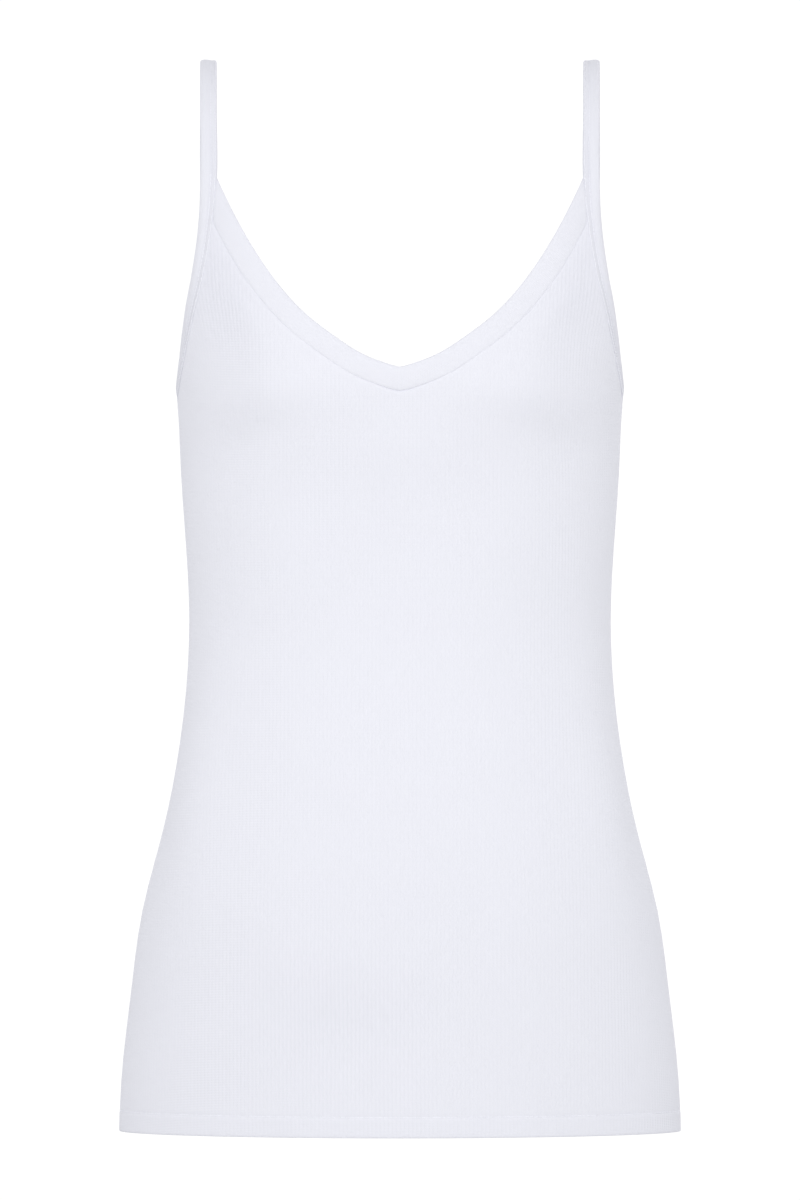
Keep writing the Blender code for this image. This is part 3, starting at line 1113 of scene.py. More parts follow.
@dataclass(frozen=True)
class Finish:
    """Look of one cloth or thread. A colour left out is the plain one."""

    name: str
    color: tuple[float, float, float]
    roughness: float
    sheen: float
    loop_width: float
    course_height: float
    loop_depth: float
    patch_size: float
    patch_amount: float
    # The groove colour is painted shade in the ribs' grooves; the seam colour is painted shade along seams,
    # strips and stitches and over shaded places.
    groove_shade_color: tuple[float, float, float] | None = None
    painted_shade_color: tuple[float, float, float] | None = None
    specular: float = 0.25
    sheen_roughness: float = 0.6

    def material(self) -> bpy.types.Material:
        """Make the material, once.

        Returns:
            The material.
        """
        made = bpy.data.materials.get(self.name)
        if made is not None:
            return made
        made = bpy.data.materials.new(self.name)
        made.use_nodes = True
        graph = Graph(made.node_tree)
        place = graph.node("ShaderNodeAttribute", attribute_name="cloth").outputs["Vector"]
        # Both attributes are shares of painted shade: groove in the ribs' grooves, seam along seams, strips
        # and stitches and over shaded places.
        groove = graph.node("ShaderNodeAttribute", attribute_name="groove").outputs["Fac"]
        seam = graph.node("ShaderNodeAttribute", attribute_name="seam").outputs["Fac"]
        tone = graph.node(
            "ShaderNodeGroup",
            {
                "Color": (*self.color, 1),
                "Groove Shade Color": (*(self.groove_shade_color or self.color), 1),
                "Groove": groove,
                "Painted Shade Color": (*(self.painted_shade_color or self.color), 1),
                "Seam": seam,
                "Place": place,
                "Patch Size": self.patch_size,
                "Patch Amount": self.patch_amount,
                "Roughness": self.roughness,
            },
            node_tree=bpy.data.node_groups["cloth_tone"],
        ).outputs
        loops = graph.node(
            "ShaderNodeGroup",
            {"Place": place, "Loop Width": self.loop_width, "Course Height": self.course_height},
            node_tree=bpy.data.node_groups["knit_loops"],
        ).outputs["Height"]
        bump = graph.node("ShaderNodeBump", {"Height": loops, "Distance": self.loop_depth, "Strength": 1.0})
        shader = graph.node(
            "ShaderNodeBsdfPrincipled",
            {
                "Base Color": tone["Color"],
                "Roughness": tone["Roughness"],
                "Specular IOR Level": self.specular,
                "Sheen Weight": self.sheen,
                "Sheen Roughness": self.sheen_roughness,
                "Normal": bump.outputs["Normal"],
            },
        )
        graph.node("ShaderNodeOutputMaterial", {"Surface": shader.outputs[0]})
        return made


KNIT = Finish(
    name="fine_rib_knit",
    color=(0.800, 0.806, 0.868),
    groove_shade_color=(0.784, 0.791, 0.854),
    painted_shade_color=(0.640, 0.645, 0.715),
    roughness=0.92,
    sheen=0.06,
    loop_width=0.00125,
    course_height=0.00100,
    loop_depth=0.00006,
    patch_size=0.045,
    patch_amount=0.02,
)
# The straps and the neck band are one cloth: its colour is painted darker on the straps for the shade on
# them, and lighter on the band for the light on it.
STRIP = Finish(
    name="folded_strip_knit_shaded",
    color=(0.762, 0.768, 0.829),
    painted_shade_color=(0.680, 0.686, 0.748),
    roughness=0.90,
    sheen=0.06,
    loop_width=0.00110,
    course_height=0.00095,
    loop_depth=0.00007,
    patch_size=0.030,
    patch_amount=0.02,
)
BAND = replace(STRIP, name="neck_band_knit_lit", color=(0.798, 0.804, 0.866))
THREAD = Finish(
    name="sewing_thread",
    color=(0.880, 0.886, 0.945),
    roughness=0.70,
    sheen=0.10,
    loop_width=0.00030,
    course_height=0.00022,
    loop_depth=0.00003,
    patch_size=0.012,
    patch_amount=0.03,
)


def linked(name: str, data: bpy.types.ID) -> bpy.types.Object:
    """Put a mesh, camera or light in the scene.

    Args:
        name: Name of the object.
        data: What it holds.

    Returns:
        The object, at the origin.
    """
    obj = bpy.data.objects.new(name, data)
    bpy.context.scene.collection.objects.link(obj)
    return obj


def new_mesh_object(name: str, points: np.ndarray, faces: list) -> bpy.types.Object:
    """Object in the scene with a smooth-shaded mesh.

    Args:
        name: Name of the object and its mesh.
        points: Its vertices.
        faces: Vertex numbers of each face, or of each edge where the shape is a line.

    Returns:
        The object.
    """
    mesh = bpy.data.meshes.new(name)
    is_line = len(faces[0]) == 2
    mesh.from_pydata([tuple(p) for p in points], faces if is_line else [], [] if is_line else faces)
    if not is_line:
        mesh.shade_smooth()
    return linked(name, mesh)


def set_values(obj: bpy.types.Object, name: str, values: np.ndarray) -> None:
    """Store numbers or vectors on an object's vertices.

    Args:
        obj: The object.
        name: Name of the attribute.
        values: One number or one vector for each vertex.
    """
    is_vector = values.ndim == 2
    made = obj.data.attributes.new(name, "FLOAT_VECTOR" if is_vector else "FLOAT", "POINT")
    made.data.foreach_set("vector" if is_vector else "value", values.astype(np.float32).ravel())


def through_tree(obj: bpy.types.Object, tree: bpy.types.NodeTree, inputs: dict) -> bpy.types.Object:
    """Run a Geometry Nodes tree on an object, and keep the result as a plain mesh.

    Args:
        obj: The object that goes in. It is removed.
        tree: The tree.
        inputs: Values of the tree's inputs, by their names.

    Returns:
        A new object of the same name.
    """
    modifier = obj.modifiers.new(tree.name, "NODES")
    modifier.node_group = tree
    for item in tree.interface.items_tree:
        if item.item_type == "SOCKET" and item.in_out == "INPUT" and item.name in inputs:
            modifier[item.identifier] = inputs[item.name]
    obj.update_tag()
    bpy.context.view_layer.update()
    state = bpy.context.evaluated_depsgraph_get()
    shown = obj.evaluated_get(state)
    mesh = bpy.data.meshes.new_from_object(shown, preserve_all_data_layers=True, depsgraph=state)
    mesh.materials.clear()
    mesh.materials.append(inputs["Material"])
    mesh.polygons.foreach_set("material_index", np.zeros(len(mesh.polygons), np.int32))
    name = obj.name
    source = obj.data
    bpy.data.objects.remove(obj, do_unlink=True)
    if source.users == 0:
        bpy.data.meshes.remove(source)
    mesh.name = name
    return linked(name, mesh)


def wale_tree() -> bpy.types.NodeTree:
    """Build the Geometry Nodes tree that raises the ribs of a panel.

    The wales follow the cloth's own distance across. Their crests are broad and their grooves narrow.

    Returns:
        The tree.
    """
    tree = bpy.data.node_groups.new("raise_wales", "GeometryNodeTree")
    graph = Graph(tree)
    sizes = {"Wale Pitch": 0.0025, "Wale Depth": 0.0003, "Crest Breadth": 2.4}
    given = graph.sockets({"Geometry": GEOMETRY, **sizes, "Material": MATERIAL}, {"Geometry": GEOMETRY})
    weight = graph.stored("weight", "FLOAT")
    across = graph.node("ShaderNodeSeparateXYZ", {0: graph.stored("cloth")}).outputs["X"]
    phase = graph.math("FRACT", graph.math("DIVIDE", graph.math("ABSOLUTE", across), given["Wale Pitch"]))
    from_crest = graph.math("ABSOLUTE", graph.math("MULTIPLY_ADD", phase, 2.0, -1.0))
    groove = graph.math("POWER", from_crest, given["Crest Breadth"])
    crest = graph.math("SUBTRACT", 1.0, groove)
    rise = graph.math("MULTIPLY", graph.math("MULTIPLY", crest, weight), given["Wale Depth"])
    lift = {0: graph.stored("outward"), "Scale": rise}
    offset = graph.node("ShaderNodeVectorMath", lift, operation="SCALE").outputs[0]
    moved = {"Geometry": given["Geometry"], "Offset": offset}
    raised = graph.node("GeometryNodeSetPosition", moved).outputs[0]
    # The groove's share is stored for the material, which paints shade into the grooves by it.
    shown = graph.math("MULTIPLY", groove, graph.math("ABSOLUTE", weight))
    kept = {"Geometry": raised, "Name": "groove", "Value": shown}
    marked = graph.node("GeometryNodeStoreNamedAttribute", kept, data_type="FLOAT", domain="POINT")
    graph.finish_geometry(marked.outputs[0], given["Material"])
    return tree


def stitch_tree() -> bpy.types.NodeTree:
    """Build the Geometry Nodes tree that sews a row of stitches along a line.

    The line carries the direction that the cloth faces, as an attribute named lift. Each stitch is a
    short bowed thread whose ends go down into the cloth.

    Returns:
        The tree.
    """
    tree = bpy.data.node_groups.new("sew_row", "GeometryNodeTree")
    graph = Graph(tree)
    inputs = {
        "Geometry": GEOMETRY,
        "Stitch Pitch": 0.0027,
        "Stitch Length": 0.0023,
        "Thread Radius": 0.00021,
        "Bow": 0.0003,
        "Dip": 0.0002,
        "Seed": 7,
        "Material": MATERIAL,
    }
    given = graph.sockets(inputs, {"Geometry": GEOMETRY})
    half = graph.math("DIVIDE", given["Stitch Length"], 2.0)
    down = graph.math("MULTIPLY", given["Dip"], -1.0)
    ends = [
        graph.node("ShaderNodeCombineXYZ", {0: x, 2: z}).outputs[0]
        for x, z in ((graph.math("MULTIPLY", half, -1.0), down), (0.0, given["Bow"]), (half, down))
    ]
    bend = {"Resolution": THREAD_STEPS, "Start": ends[0], "Middle": ends[1], "End": ends[2]}
    bowed = graph.node("GeometryNodeCurveQuadraticBezier", bend).outputs[0]
    ring = {"Resolution": THREAD_SIDES, "Radius": given["Thread Radius"]}
    section = graph.node("GeometryNodeCurvePrimitiveCircle", ring).outputs[0]
    tube = {"Curve": bowed, "Profile Curve": section, "Fill Caps": True}
    tube_mesh = graph.node("GeometryNodeCurveToMesh", tube).outputs[0]
    thread = graph.node("GeometryNodeSetShadeSmooth", {"Geometry": tube_mesh}).outputs[0]
    path = graph.node("GeometryNodeMeshToCurve", {"Mesh": given["Geometry"]}).outputs[0]
    spacing = {"Curve": path, "Length": given["Stitch Pitch"]}
    spaced = graph.node("GeometryNodeResampleCurve", spacing, mode="LENGTH").outputs[0]
    aim = {"Vector": graph.node("GeometryNodeInputTangent").outputs[0]}
    along = graph.node("FunctionNodeAlignRotationToVector", aim, axis="X", pivot_axis="AUTO").outputs[0]
    aim = {"Rotation": along, "Vector": graph.stored("lift")}
    turned = graph.node("FunctionNodeAlignRotationToVector", aim, axis="Z", pivot_axis="X").outputs[0]
    spread = {0: STITCH_SIZES[0], 1: STITCH_SIZES[1], "Seed": given["Seed"]}
    size = graph.node("FunctionNodeRandomValue", spread, data_type="FLOAT_VECTOR").outputs[0]
    copies = {"Points": spaced, "Instance": thread, "Rotation": turned, "Scale": size}
    sewn = graph.node("GeometryNodeInstanceOnPoints", copies).outputs[0]
    graph.finish_geometry(sewn, given["Material"])
    return tree


def sew(name: str, path: np.ndarray, lift: np.ndarray, sewing: Sewing) -> bpy.types.Object:
    """Sew one row of stitches.

    Args:
        name: Name of the row.
        path: Points of the line on the cloth.
        lift: Direction that the cloth faces at each point.
        sewing: Sizes and seed of the row.

    Returns:
        The stitches, as one object.
    """
    line = new_mesh_object(name, path, [(i, i + 1) for i in range(len(path) - 1)])
    set_values(line, "lift", lift)
    inputs = {
        "Stitch Pitch": sewing.pitch,
        "Stitch Length": STITCH_SHARE * sewing.pitch,
        "Thread Radius": sewing.radius,
        "Seed": sewing.seed,
        "Material": THREAD.material(),
    }
    return through_tree(line, bpy.data.node_groups["sew_row"], inputs)


def joined(name: str, objects: list[bpy.types.Object]) -> bpy.types.Object:
    """Join objects whose places are in their meshes.

    Args:
        name: Name of the result.
        objects: What is joined.

    Returns:
        One object.
    """
    shape = bmesh.new()
    for obj in objects:
        shape.from_mesh(obj.data)
    mesh = bpy.data.meshes.new(name)
    shape.to_mesh(mesh)
    shape.free()
    mesh.materials.append(objects[0].data.materials[0])
    for obj in objects:
        bpy.data.objects.remove(obj, do_unlink=True)
    return linked(name, mesh)


@dataclass
class BodyPanel:
    """Front or back of the body: rib knit with its hem turned up inside."""

    side: Side
    form: Form
    lines: SeamLines
    wale_depth: float = 0.00016
    inner_relief: float = -0.8
    body_rows: int = 27
    chest_rows: int = 19
    end_rows: tuple[float, ...] = (0.0066, 0.0046, 0.0032, 0.0024, 0.0018, 0.0012, 0.0006, 0.0)
    seam_columns: tuple[float, ...] = (0.0030, 0.0016, 0.0009, 0.0004, 0.0)
    ditch_depth: float = 0.0012
    ditch_width: float = 0.0022
    side_ditch_depth: float = 0.00045
    side_ditch_width: float = 0.0017
    fold_fade: float = 0.016
    rib_side_fade: float = 0.0018
    rib_top_from: float = 0.0010
    rib_top_fade: float = 0.0020
    rib_hem_fade: float = 0.0016
    rib_row_loss: float = 0.6
    rib_row_fade: float = 0.0012
    thread_lift: float = 0.00016
    rim_angle: float = math.radians(55)
    ditch: Ditch = Ditch()
    painted_shades: PaintedSeamShade = PaintedSeamShade()

    EDGE_POINTS: ClassVar[int] = 400
    HEM_POINTS: ClassVar[int] = 361

    @property
    def name(self) -> str:
        """Front or back, in lower case."""
        return self.side.name.lower()

    def top_line(self) -> np.ndarray:
        """Draw the panel's top edge, under the strips that cover it.

        Returns:
            Distance across and height of each place, from the centre line to the side seam.
        """
        neck = self.lines.below_neck(-NECK_TUCK)
        armhole = self.lines.inside_armhole(-ARMHOLE_TUCK)
        mark, corner = crossing(neck, armhole)
        line = np.vstack([up_to(neck, mark), up_to(armhole, corner)[::-1]])
        across = line[:, 0] * self.form.girth(self.side, line[:, 1])
        return np.stack([np.maximum.accumulate(across), line[:, 1]], axis=1)

    def heights(self, top: np.ndarray) -> np.ndarray:
        """Height of each row at each column.

        Args:
            top: Height of the panel's top edge at each column.

        Returns:
            Rows by columns.
        """
        hem_top = HEM_Z + HEM_ROWS[-1].rise
        low = [HEM_Z + row.rise for row in HEM_ROWS]
        low += list(np.linspace(hem_top, BLEND_Z, self.body_rows + 1)[1:])
        rows = [np.full(len(top), z) for z in low]
        reach = top - self.end_rows[0] - BLEND_Z
        rows += [BLEND_Z + reach * part for part in np.linspace(0, 1, self.chest_rows + 1)[1:-1]]
        rows += [top - drop for drop in self.end_rows]
        return np.array(rows)

    def grid(self) -> tuple[np.ndarray, np.ndarray, np.ndarray]:
        """Lay out the rows and columns of the outer face.

        The columns follow the wales, and run off at the side seams as cut knit does. The last few at
        each side follow the seam.

        Returns:
            Signed distance across, height, and number of the vertex, each rows by columns. Wale columns
            that have run off share one vertex in a row.
        """
        step = WALE_PITCH / STEPS_PER_WALE
        count = math.ceil(self.form.girth(self.side, HEM_Z) / step)
        wales = np.arange(-count, count + 1) * step
        margin, *strip = self.seam_columns
        beyond = np.full(len(strip), np.inf)
        wanted = np.concatenate([-beyond, wales, beyond])
        from_seam = np.concatenate([strip[::-1], np.full(len(wales), margin), strip])
        line = self.top_line()
        limit = line[-1, 0] - from_seam
        z = self.heights(np.interp(np.abs(np.clip(wanted, -limit, limit)), line[:, 0], line[:, 1]))
        limit = self.form.girth(self.side, z) - from_seam
        past = (np.abs(wanted) >= limit) & np.isfinite(wanted)
        number = np.arange(z.size).reshape(z.shape)
        for row in range(len(z)):
            for hand in (wanted < 0, wanted > 0):
                out = np.flatnonzero(past[row] & hand)
                if len(out):
                    number[row, out] = number[row, out[0]]
        return np.clip(wanted, -limit, limit), z, number

    def build(self) -> bpy.types.Object:
        """Make the panel.

        Returns:
            The panel, with its wales raised and its material.
        """
        across, z, number = self.grid()
        girth = self.form.girth(self.side, z)
        share = np.abs(across) / girth
        face = self.form.at(self.side, share, z)
        to_side, to_top = girth - np.abs(across), self.distance_to_top(face)
        face[..., 1] += np.where(share < 1, 0, self.side.value * SEAM_GAP / 2)
        outward = self.form.facing(self.side, share, z) * handed(across)
        inset, wall = self.hem_rows(len(z))
        lift = self.creases(across, z, to_side, to_top) - inset
        lift -= self.ditch_depth * self.ditch.strength(self.side, across) * fade(to_top, self.ditch_width)
        lift -= self.side_ditch_depth * fade(to_side, self.side_ditch_width)
        outer = face * handed(across) + lift[..., None] * outward
        keep = np.unique(number)
        panel = self.shell(outer, outer - wall[..., None] * outward, number)
        for name, values, inside in (
            ("cloth", np.stack([across, z - HEM_Z, np.zeros_like(z)], axis=-1), 1.0),
            ("outward", outward, 1.0),
            ("weight", self.rib_weight(across, z, to_side, to_top), self.inner_relief),
            # The seam attribute carries the panel's painted shade, as a share.
            ("seam", self.painted_shade(across, z, to_side, to_top), 0.0),
        ):
            kept = values.reshape(z.size, -1)[keep]
            set_values(panel, name, np.concatenate([kept, inside * kept]).squeeze())
        inputs = {"Wale Pitch": WALE_PITCH, "Wale Depth": self.wale_depth, "Material": KNIT.material()}
        return through_tree(panel, bpy.data.node_groups["raise_wales"], inputs)

    def distance_to_top(self, face: np.ndarray) -> np.ndarray:
        """Measure how far each point of the wearer's left half is from the panel's top edge.

        Args:
            face: Points of the outer face, rows by columns.

        Returns:
            The distances, rows by columns.
        """
        line = self.top_line()
        line[:, 0] /= self.form.girth(self.side, line[:, 1])
        edge = self.lines.on_cloth(self.lines.spaced(line, self.EDGE_POINTS))
        return np.array([np.linalg.norm(row[:, None] - edge[None], axis=2).min(axis=1) for row in face])

    def hem_rows(self, rows: int) -> tuple[np.ndarray, np.ndarray]:
        """How far each row is set in, and the wall's thickness there.

        Args:
            rows: Rows of the whole panel.

        Returns:
            Insets and thicknesses, one to a row.
        """
        plain = rows - len(HEM_ROWS)
        inset = np.pad([row.inset for row in HEM_ROWS], (0, plain))
        wall = np.pad([row.wall for row in HEM_ROWS], (0, plain), constant_values=WALL)
        return inset[:, None], wall[:, None]

    def creases(
        self, across: np.ndarray, z: np.ndarray, to_side: np.ndarray, to_top: np.ndarray
    ) -> np.ndarray:
        """Outward move of the panel's folds, which die out towards its seams."""
        still = (1 - fade(to_side, self.fold_fade)) * (1 - fade(to_top, self.fold_fade))
        return sum(fold.lift(across, z) for fold in FOLDS[self.side]) * still

    def rib_weight(
        self, across: np.ndarray, z: np.ndarray, to_side: np.ndarray, to_top: np.ndarray
    ) -> np.ndarray:
        """How much of the ribs stands: none at the seams and the hem's edge.

        Args:
            across: Signed distances from the centre line.
            z: Heights.
            to_side: Distances to the side seam.
            to_top: Distances to the top edge.

        Returns:
            The share of the ribs' depth at each place.
        """
        weight = 1 - fade(to_side - self.seam_columns[0], self.rib_side_fade)
        weight *= 1 - fade(to_top - self.rib_top_from, self.rib_top_fade)
        weight *= PLAIN_RIB + sum(gather.lift(across, z) for gather in RIB_GATHERS[self.side])
        rise = z - HEM_Z
        weight *= 1 - fade(rise, self.rib_hem_fade)
        return weight * (1 - self.rib_row_loss * fade(np.abs(rise - HEM_STITCH_RISE), self.rib_row_fade))

    def painted_shade(
        self, across: np.ndarray, z: np.ndarray, to_side: np.ndarray, to_top: np.ndarray
    ) -> np.ndarray:
        """How much shade is painted on the cloth along the strips, down the side seam, in the turn of the
        hem, and beside the armholes.

        Args:
            across: Signed distances from the centre line.
            z: Heights.
            to_side: Distances to the side seam.
            to_top: Distances to the top edge.

        Returns:
            The shade at each place, from 0 to 1.
        """
        painted_shades = self.painted_shades
        # Painted shade along the foot of the strips, in the ditch there.
        on_slant = 1 - fade(np.abs(across) - painted_shades.slant_from, painted_shades.slant_over)
        breadth = painted_shades.foot_breadth + painted_shades.foot_spread * on_slant
        foot = np.exp(-(((to_top - NECK_TUCK) / breadth) ** 2))
        foot *= painted_shades.foot_gain * self.ditch.strength(self.side, across) - painted_shades.foot_loss
        foot *= 1 - painted_shades.slant_loss * on_slant
        # Painted shade down the side seam.
        join = painted_shades.side_shade * fade(to_side, painted_shades.side_breadth)
        # Painted shade along the hem's row of stitches, broken into dashes.
        row = np.exp(-(((z - HEM_Z - HEM_STITCH_RISE) / painted_shades.hem_breadth) ** 2))
        dashes = painted_shades.hem_shade + painted_shades.dash_shade * np.sin(across / painted_shades.dash_length)
        dashes += painted_shades.drift_shade * np.sin(across / painted_shades.drift_length + painted_shades.drift_start)
        # Painted shade on the upper chest beside the armholes.
        armhole_shade = sum(place.lift(across, z) for place in PAINTED_ARMHOLE_SHADE[self.side])
        return np.clip(armhole_shade + np.maximum(np.maximum(foot, join), row * dashes), 0, 1)

    def shell(self, outer: np.ndarray, inner: np.ndarray, number: np.ndarray) -> bpy.types.Object:
        """Close the outer and inner faces of the panel into one wall.

        Args:
            outer: Points of the outer face, rows by columns.
            inner: Points of the inner face.
            number: Number of the vertex at each row and column.

        Returns:
            The panel as an object.
        """
        keep, packed = np.unique(number, return_inverse=True)
        packed = packed.reshape(number.shape)
        count = len(keep)
        points = np.vstack([outer.reshape(-1, 3)[keep], inner.reshape(-1, 3)[keep]])
        low_left, low_right = packed[:-1, :-1], packed[:-1, 1:]
        top_left, top_right = packed[1:, :-1], packed[1:, 1:]
        front = np.stack([low_left, low_right, top_right, top_left], axis=-1).reshape(-1, 4)
        behind = front[:, ::-1] + count
        edge = np.concatenate([packed[0, :], packed[1:, -1], packed[-1, -2::-1], packed[-2:0:-1, 0]])
        following = np.roll(edge, -1)
        rim = np.stack([following, edge, edge + count, following + count], axis=-1)
        faces = np.vstack([front, behind, rim])
        if self.side is Side.BACK:
            faces = faces[:, ::-1]
        panel = new_mesh_object(f"{self.name}_panel_knit", points, clean_faces(faces))
        panel.data.set_sharp_from_angle(angle=self.rim_angle)
        return panel

    def hem_path(self) -> tuple[np.ndarray, np.ndarray]:
        """Draw the line of the hem's stitches.

        Returns:
            Its points, and the direction that the cloth faces at each.
        """
        share = np.linspace(-1, 1, self.HEM_POINTS)
        z = np.full(len(share), HEM_Z + HEM_STITCH_RISE)
        girth = self.form.girth(self.side, z)
        outward = self.form.facing(self.side, np.abs(share), z) * handed(share)
        inset = next(row.inset for row in HEM_ROWS if row.rise == HEM_STITCH_RISE)
        lift = self.creases(share * girth, z, (1 - np.abs(share)) * girth, np.full(len(share), 1.0))
        path = self.form.at(self.side, np.abs(share), z) * handed(share)
        return path + (lift - inset + self.thread_lift)[:, None] * outward, outward


def clean_faces(faces: np.ndarray) -> list[tuple[int, ...]]:
    """Faces without repeated corners, and without those that have fewer than three left.

    Args:
        faces: Four vertex numbers to a row.

    Returns:
        Triangles and quads.
    """
    kept = []
    for face in faces.tolist():
        corners = tuple(dict.fromkeys(face))
        if len(corners) > 2:
            kept.append(corners)
    return kept


def closed_strip(
    name: str,
    points: np.ndarray,
    places: np.ndarray,
    shade: np.ndarray,
    outward_sign: int,
    finish: Finish,
) -> bpy.types.Object:
    """Closed solid of a strip, from its section at each station.

    Args:
        name: Name of the strip.
        points: Section points by stations.
        places: Distance across and along of each point.
        shade: How dark each point is, from 0 to 1.
        outward_sign: 1 where the sections run so that the faces look out, and -1 where they don't.
        finish: Its look.

    Returns:
        The strip, with its material.
    """
    around, stations = points.shape[:2]
    number = np.arange(around * stations).reshape(around, stations)
    after = np.roll(number, -1, axis=0)
    walls = np.stack([number[:, :-1], number[:, 1:], after[:, 1:], after[:, :-1]], axis=-1).reshape(-1, 4)
    faces = [tuple(face) for face in walls.tolist()]
    faces += [tuple(number[:, 0].tolist()), tuple(number[::-1, -1].tolist())]
    if outward_sign < 0:
        faces = [face[::-1] for face in faces]
    strip = new_mesh_object(name, points.reshape(-1, 3), faces)
    set_values(strip, "cloth", places.reshape(-1, 3))
    # The seam attribute carries the strip's painted shade, as a share.
    set_values(strip, "seam", shade.ravel())
    strip.data.materials.append(finish.material())
    return strip


@dataclass
class NeckBand:
    """Folded strip along the front or back neck edge, between the straps."""

    side: Side
    form: Form
    lines: SeamLines
    station_step: float = 0.0024
    mitre_depth: float = 0.00018
    mitre_width: float = 0.0014
    mitre_steps: tuple[float, ...] = (0.0, 0.0003, 0.0007, 0.0012, 0.0018)
    end_depth: float = 0.0009
    end_width: float = 0.0026
    end_shade: float = 0.30
    end_shade_reach: float = 0.060
    easing: float = 0.045
    easing_reach: float = 0.030
    wobble: Wobble = Wobble(0.00012, 0.0061, 0.5, 0.4, 0.0137, 1.9)

    def build(self) -> bpy.types.Object:
        """Make the band.

        Returns:
            The band, with its material.
        """
        binding_foot = self.lines.inside_armhole()
        halves = []
        for line in (self.lines.below_neck(), self.lines.neck):
            mark, _ = crossing(line, binding_foot)
            run, steps = path_length(self.lines.on_cloth(line)), np.arange(len(line))
            end = np.interp(np.interp(mark, steps, run) + ARMHOLE_TUCK, run, steps)
            kept = up_to(line, end)
            halves.append((kept, path_length(self.lines.on_cloth(kept))))
        length = halves[0][1][-1]
        count = round((length - self.mitre_steps[-1]) / self.station_step)
        spread = np.linspace(self.mitre_steps[-1], length, count)
        marks = np.concatenate([self.mitre_steps[:-1], spread]) / length
        edges = []
        for kept, run in halves:
            edge = at_marks(kept, np.interp(marks * run[-1], run, np.arange(len(kept))))
            edges.append(np.vstack([edge[:0:-1], edge]))
        along = np.concatenate([-marks[:0:-1], marks]) * length
        hand = handed(along)
        easing = 1 + self.easing * (1 - np.exp(-((along / self.easing_reach) ** 2)))
        mitre = self.mitre_depth * fade(np.abs(along), self.mitre_width) * (self.side is Side.FRONT)
        to_end = length - np.abs(along)
        sunk = mitre + self.end_depth * fade(to_end, self.end_width)
        wave = self.wobble.at(along)
        width = BAND_WIDTHS[self.side][0].width
        points, places = [], []
        for point in BAND_PROFILE:
            place = edges[0] + (point.share * easing)[:, None] * (edges[1] - edges[0])
            spot = self.form.at(self.side, place[:, 0], place[:, 1]) * hand
            facing = self.form.facing(self.side, place[:, 0], place[:, 1]) * hand
            points.append(spot + point.height(wave, sunk)[:, None] * facing)
            places.append(point.place(along, width))
        name = f"{self.side.name.lower()}_neck_band_strip"
        # Painted shade, darkening the band towards its ends.
        shade = np.tile(self.end_shade * fade(to_end, self.end_shade_reach), (len(BAND_PROFILE), 1))
        return closed_strip(name, np.array(points), np.array(places), shade, self.side.value, BAND)


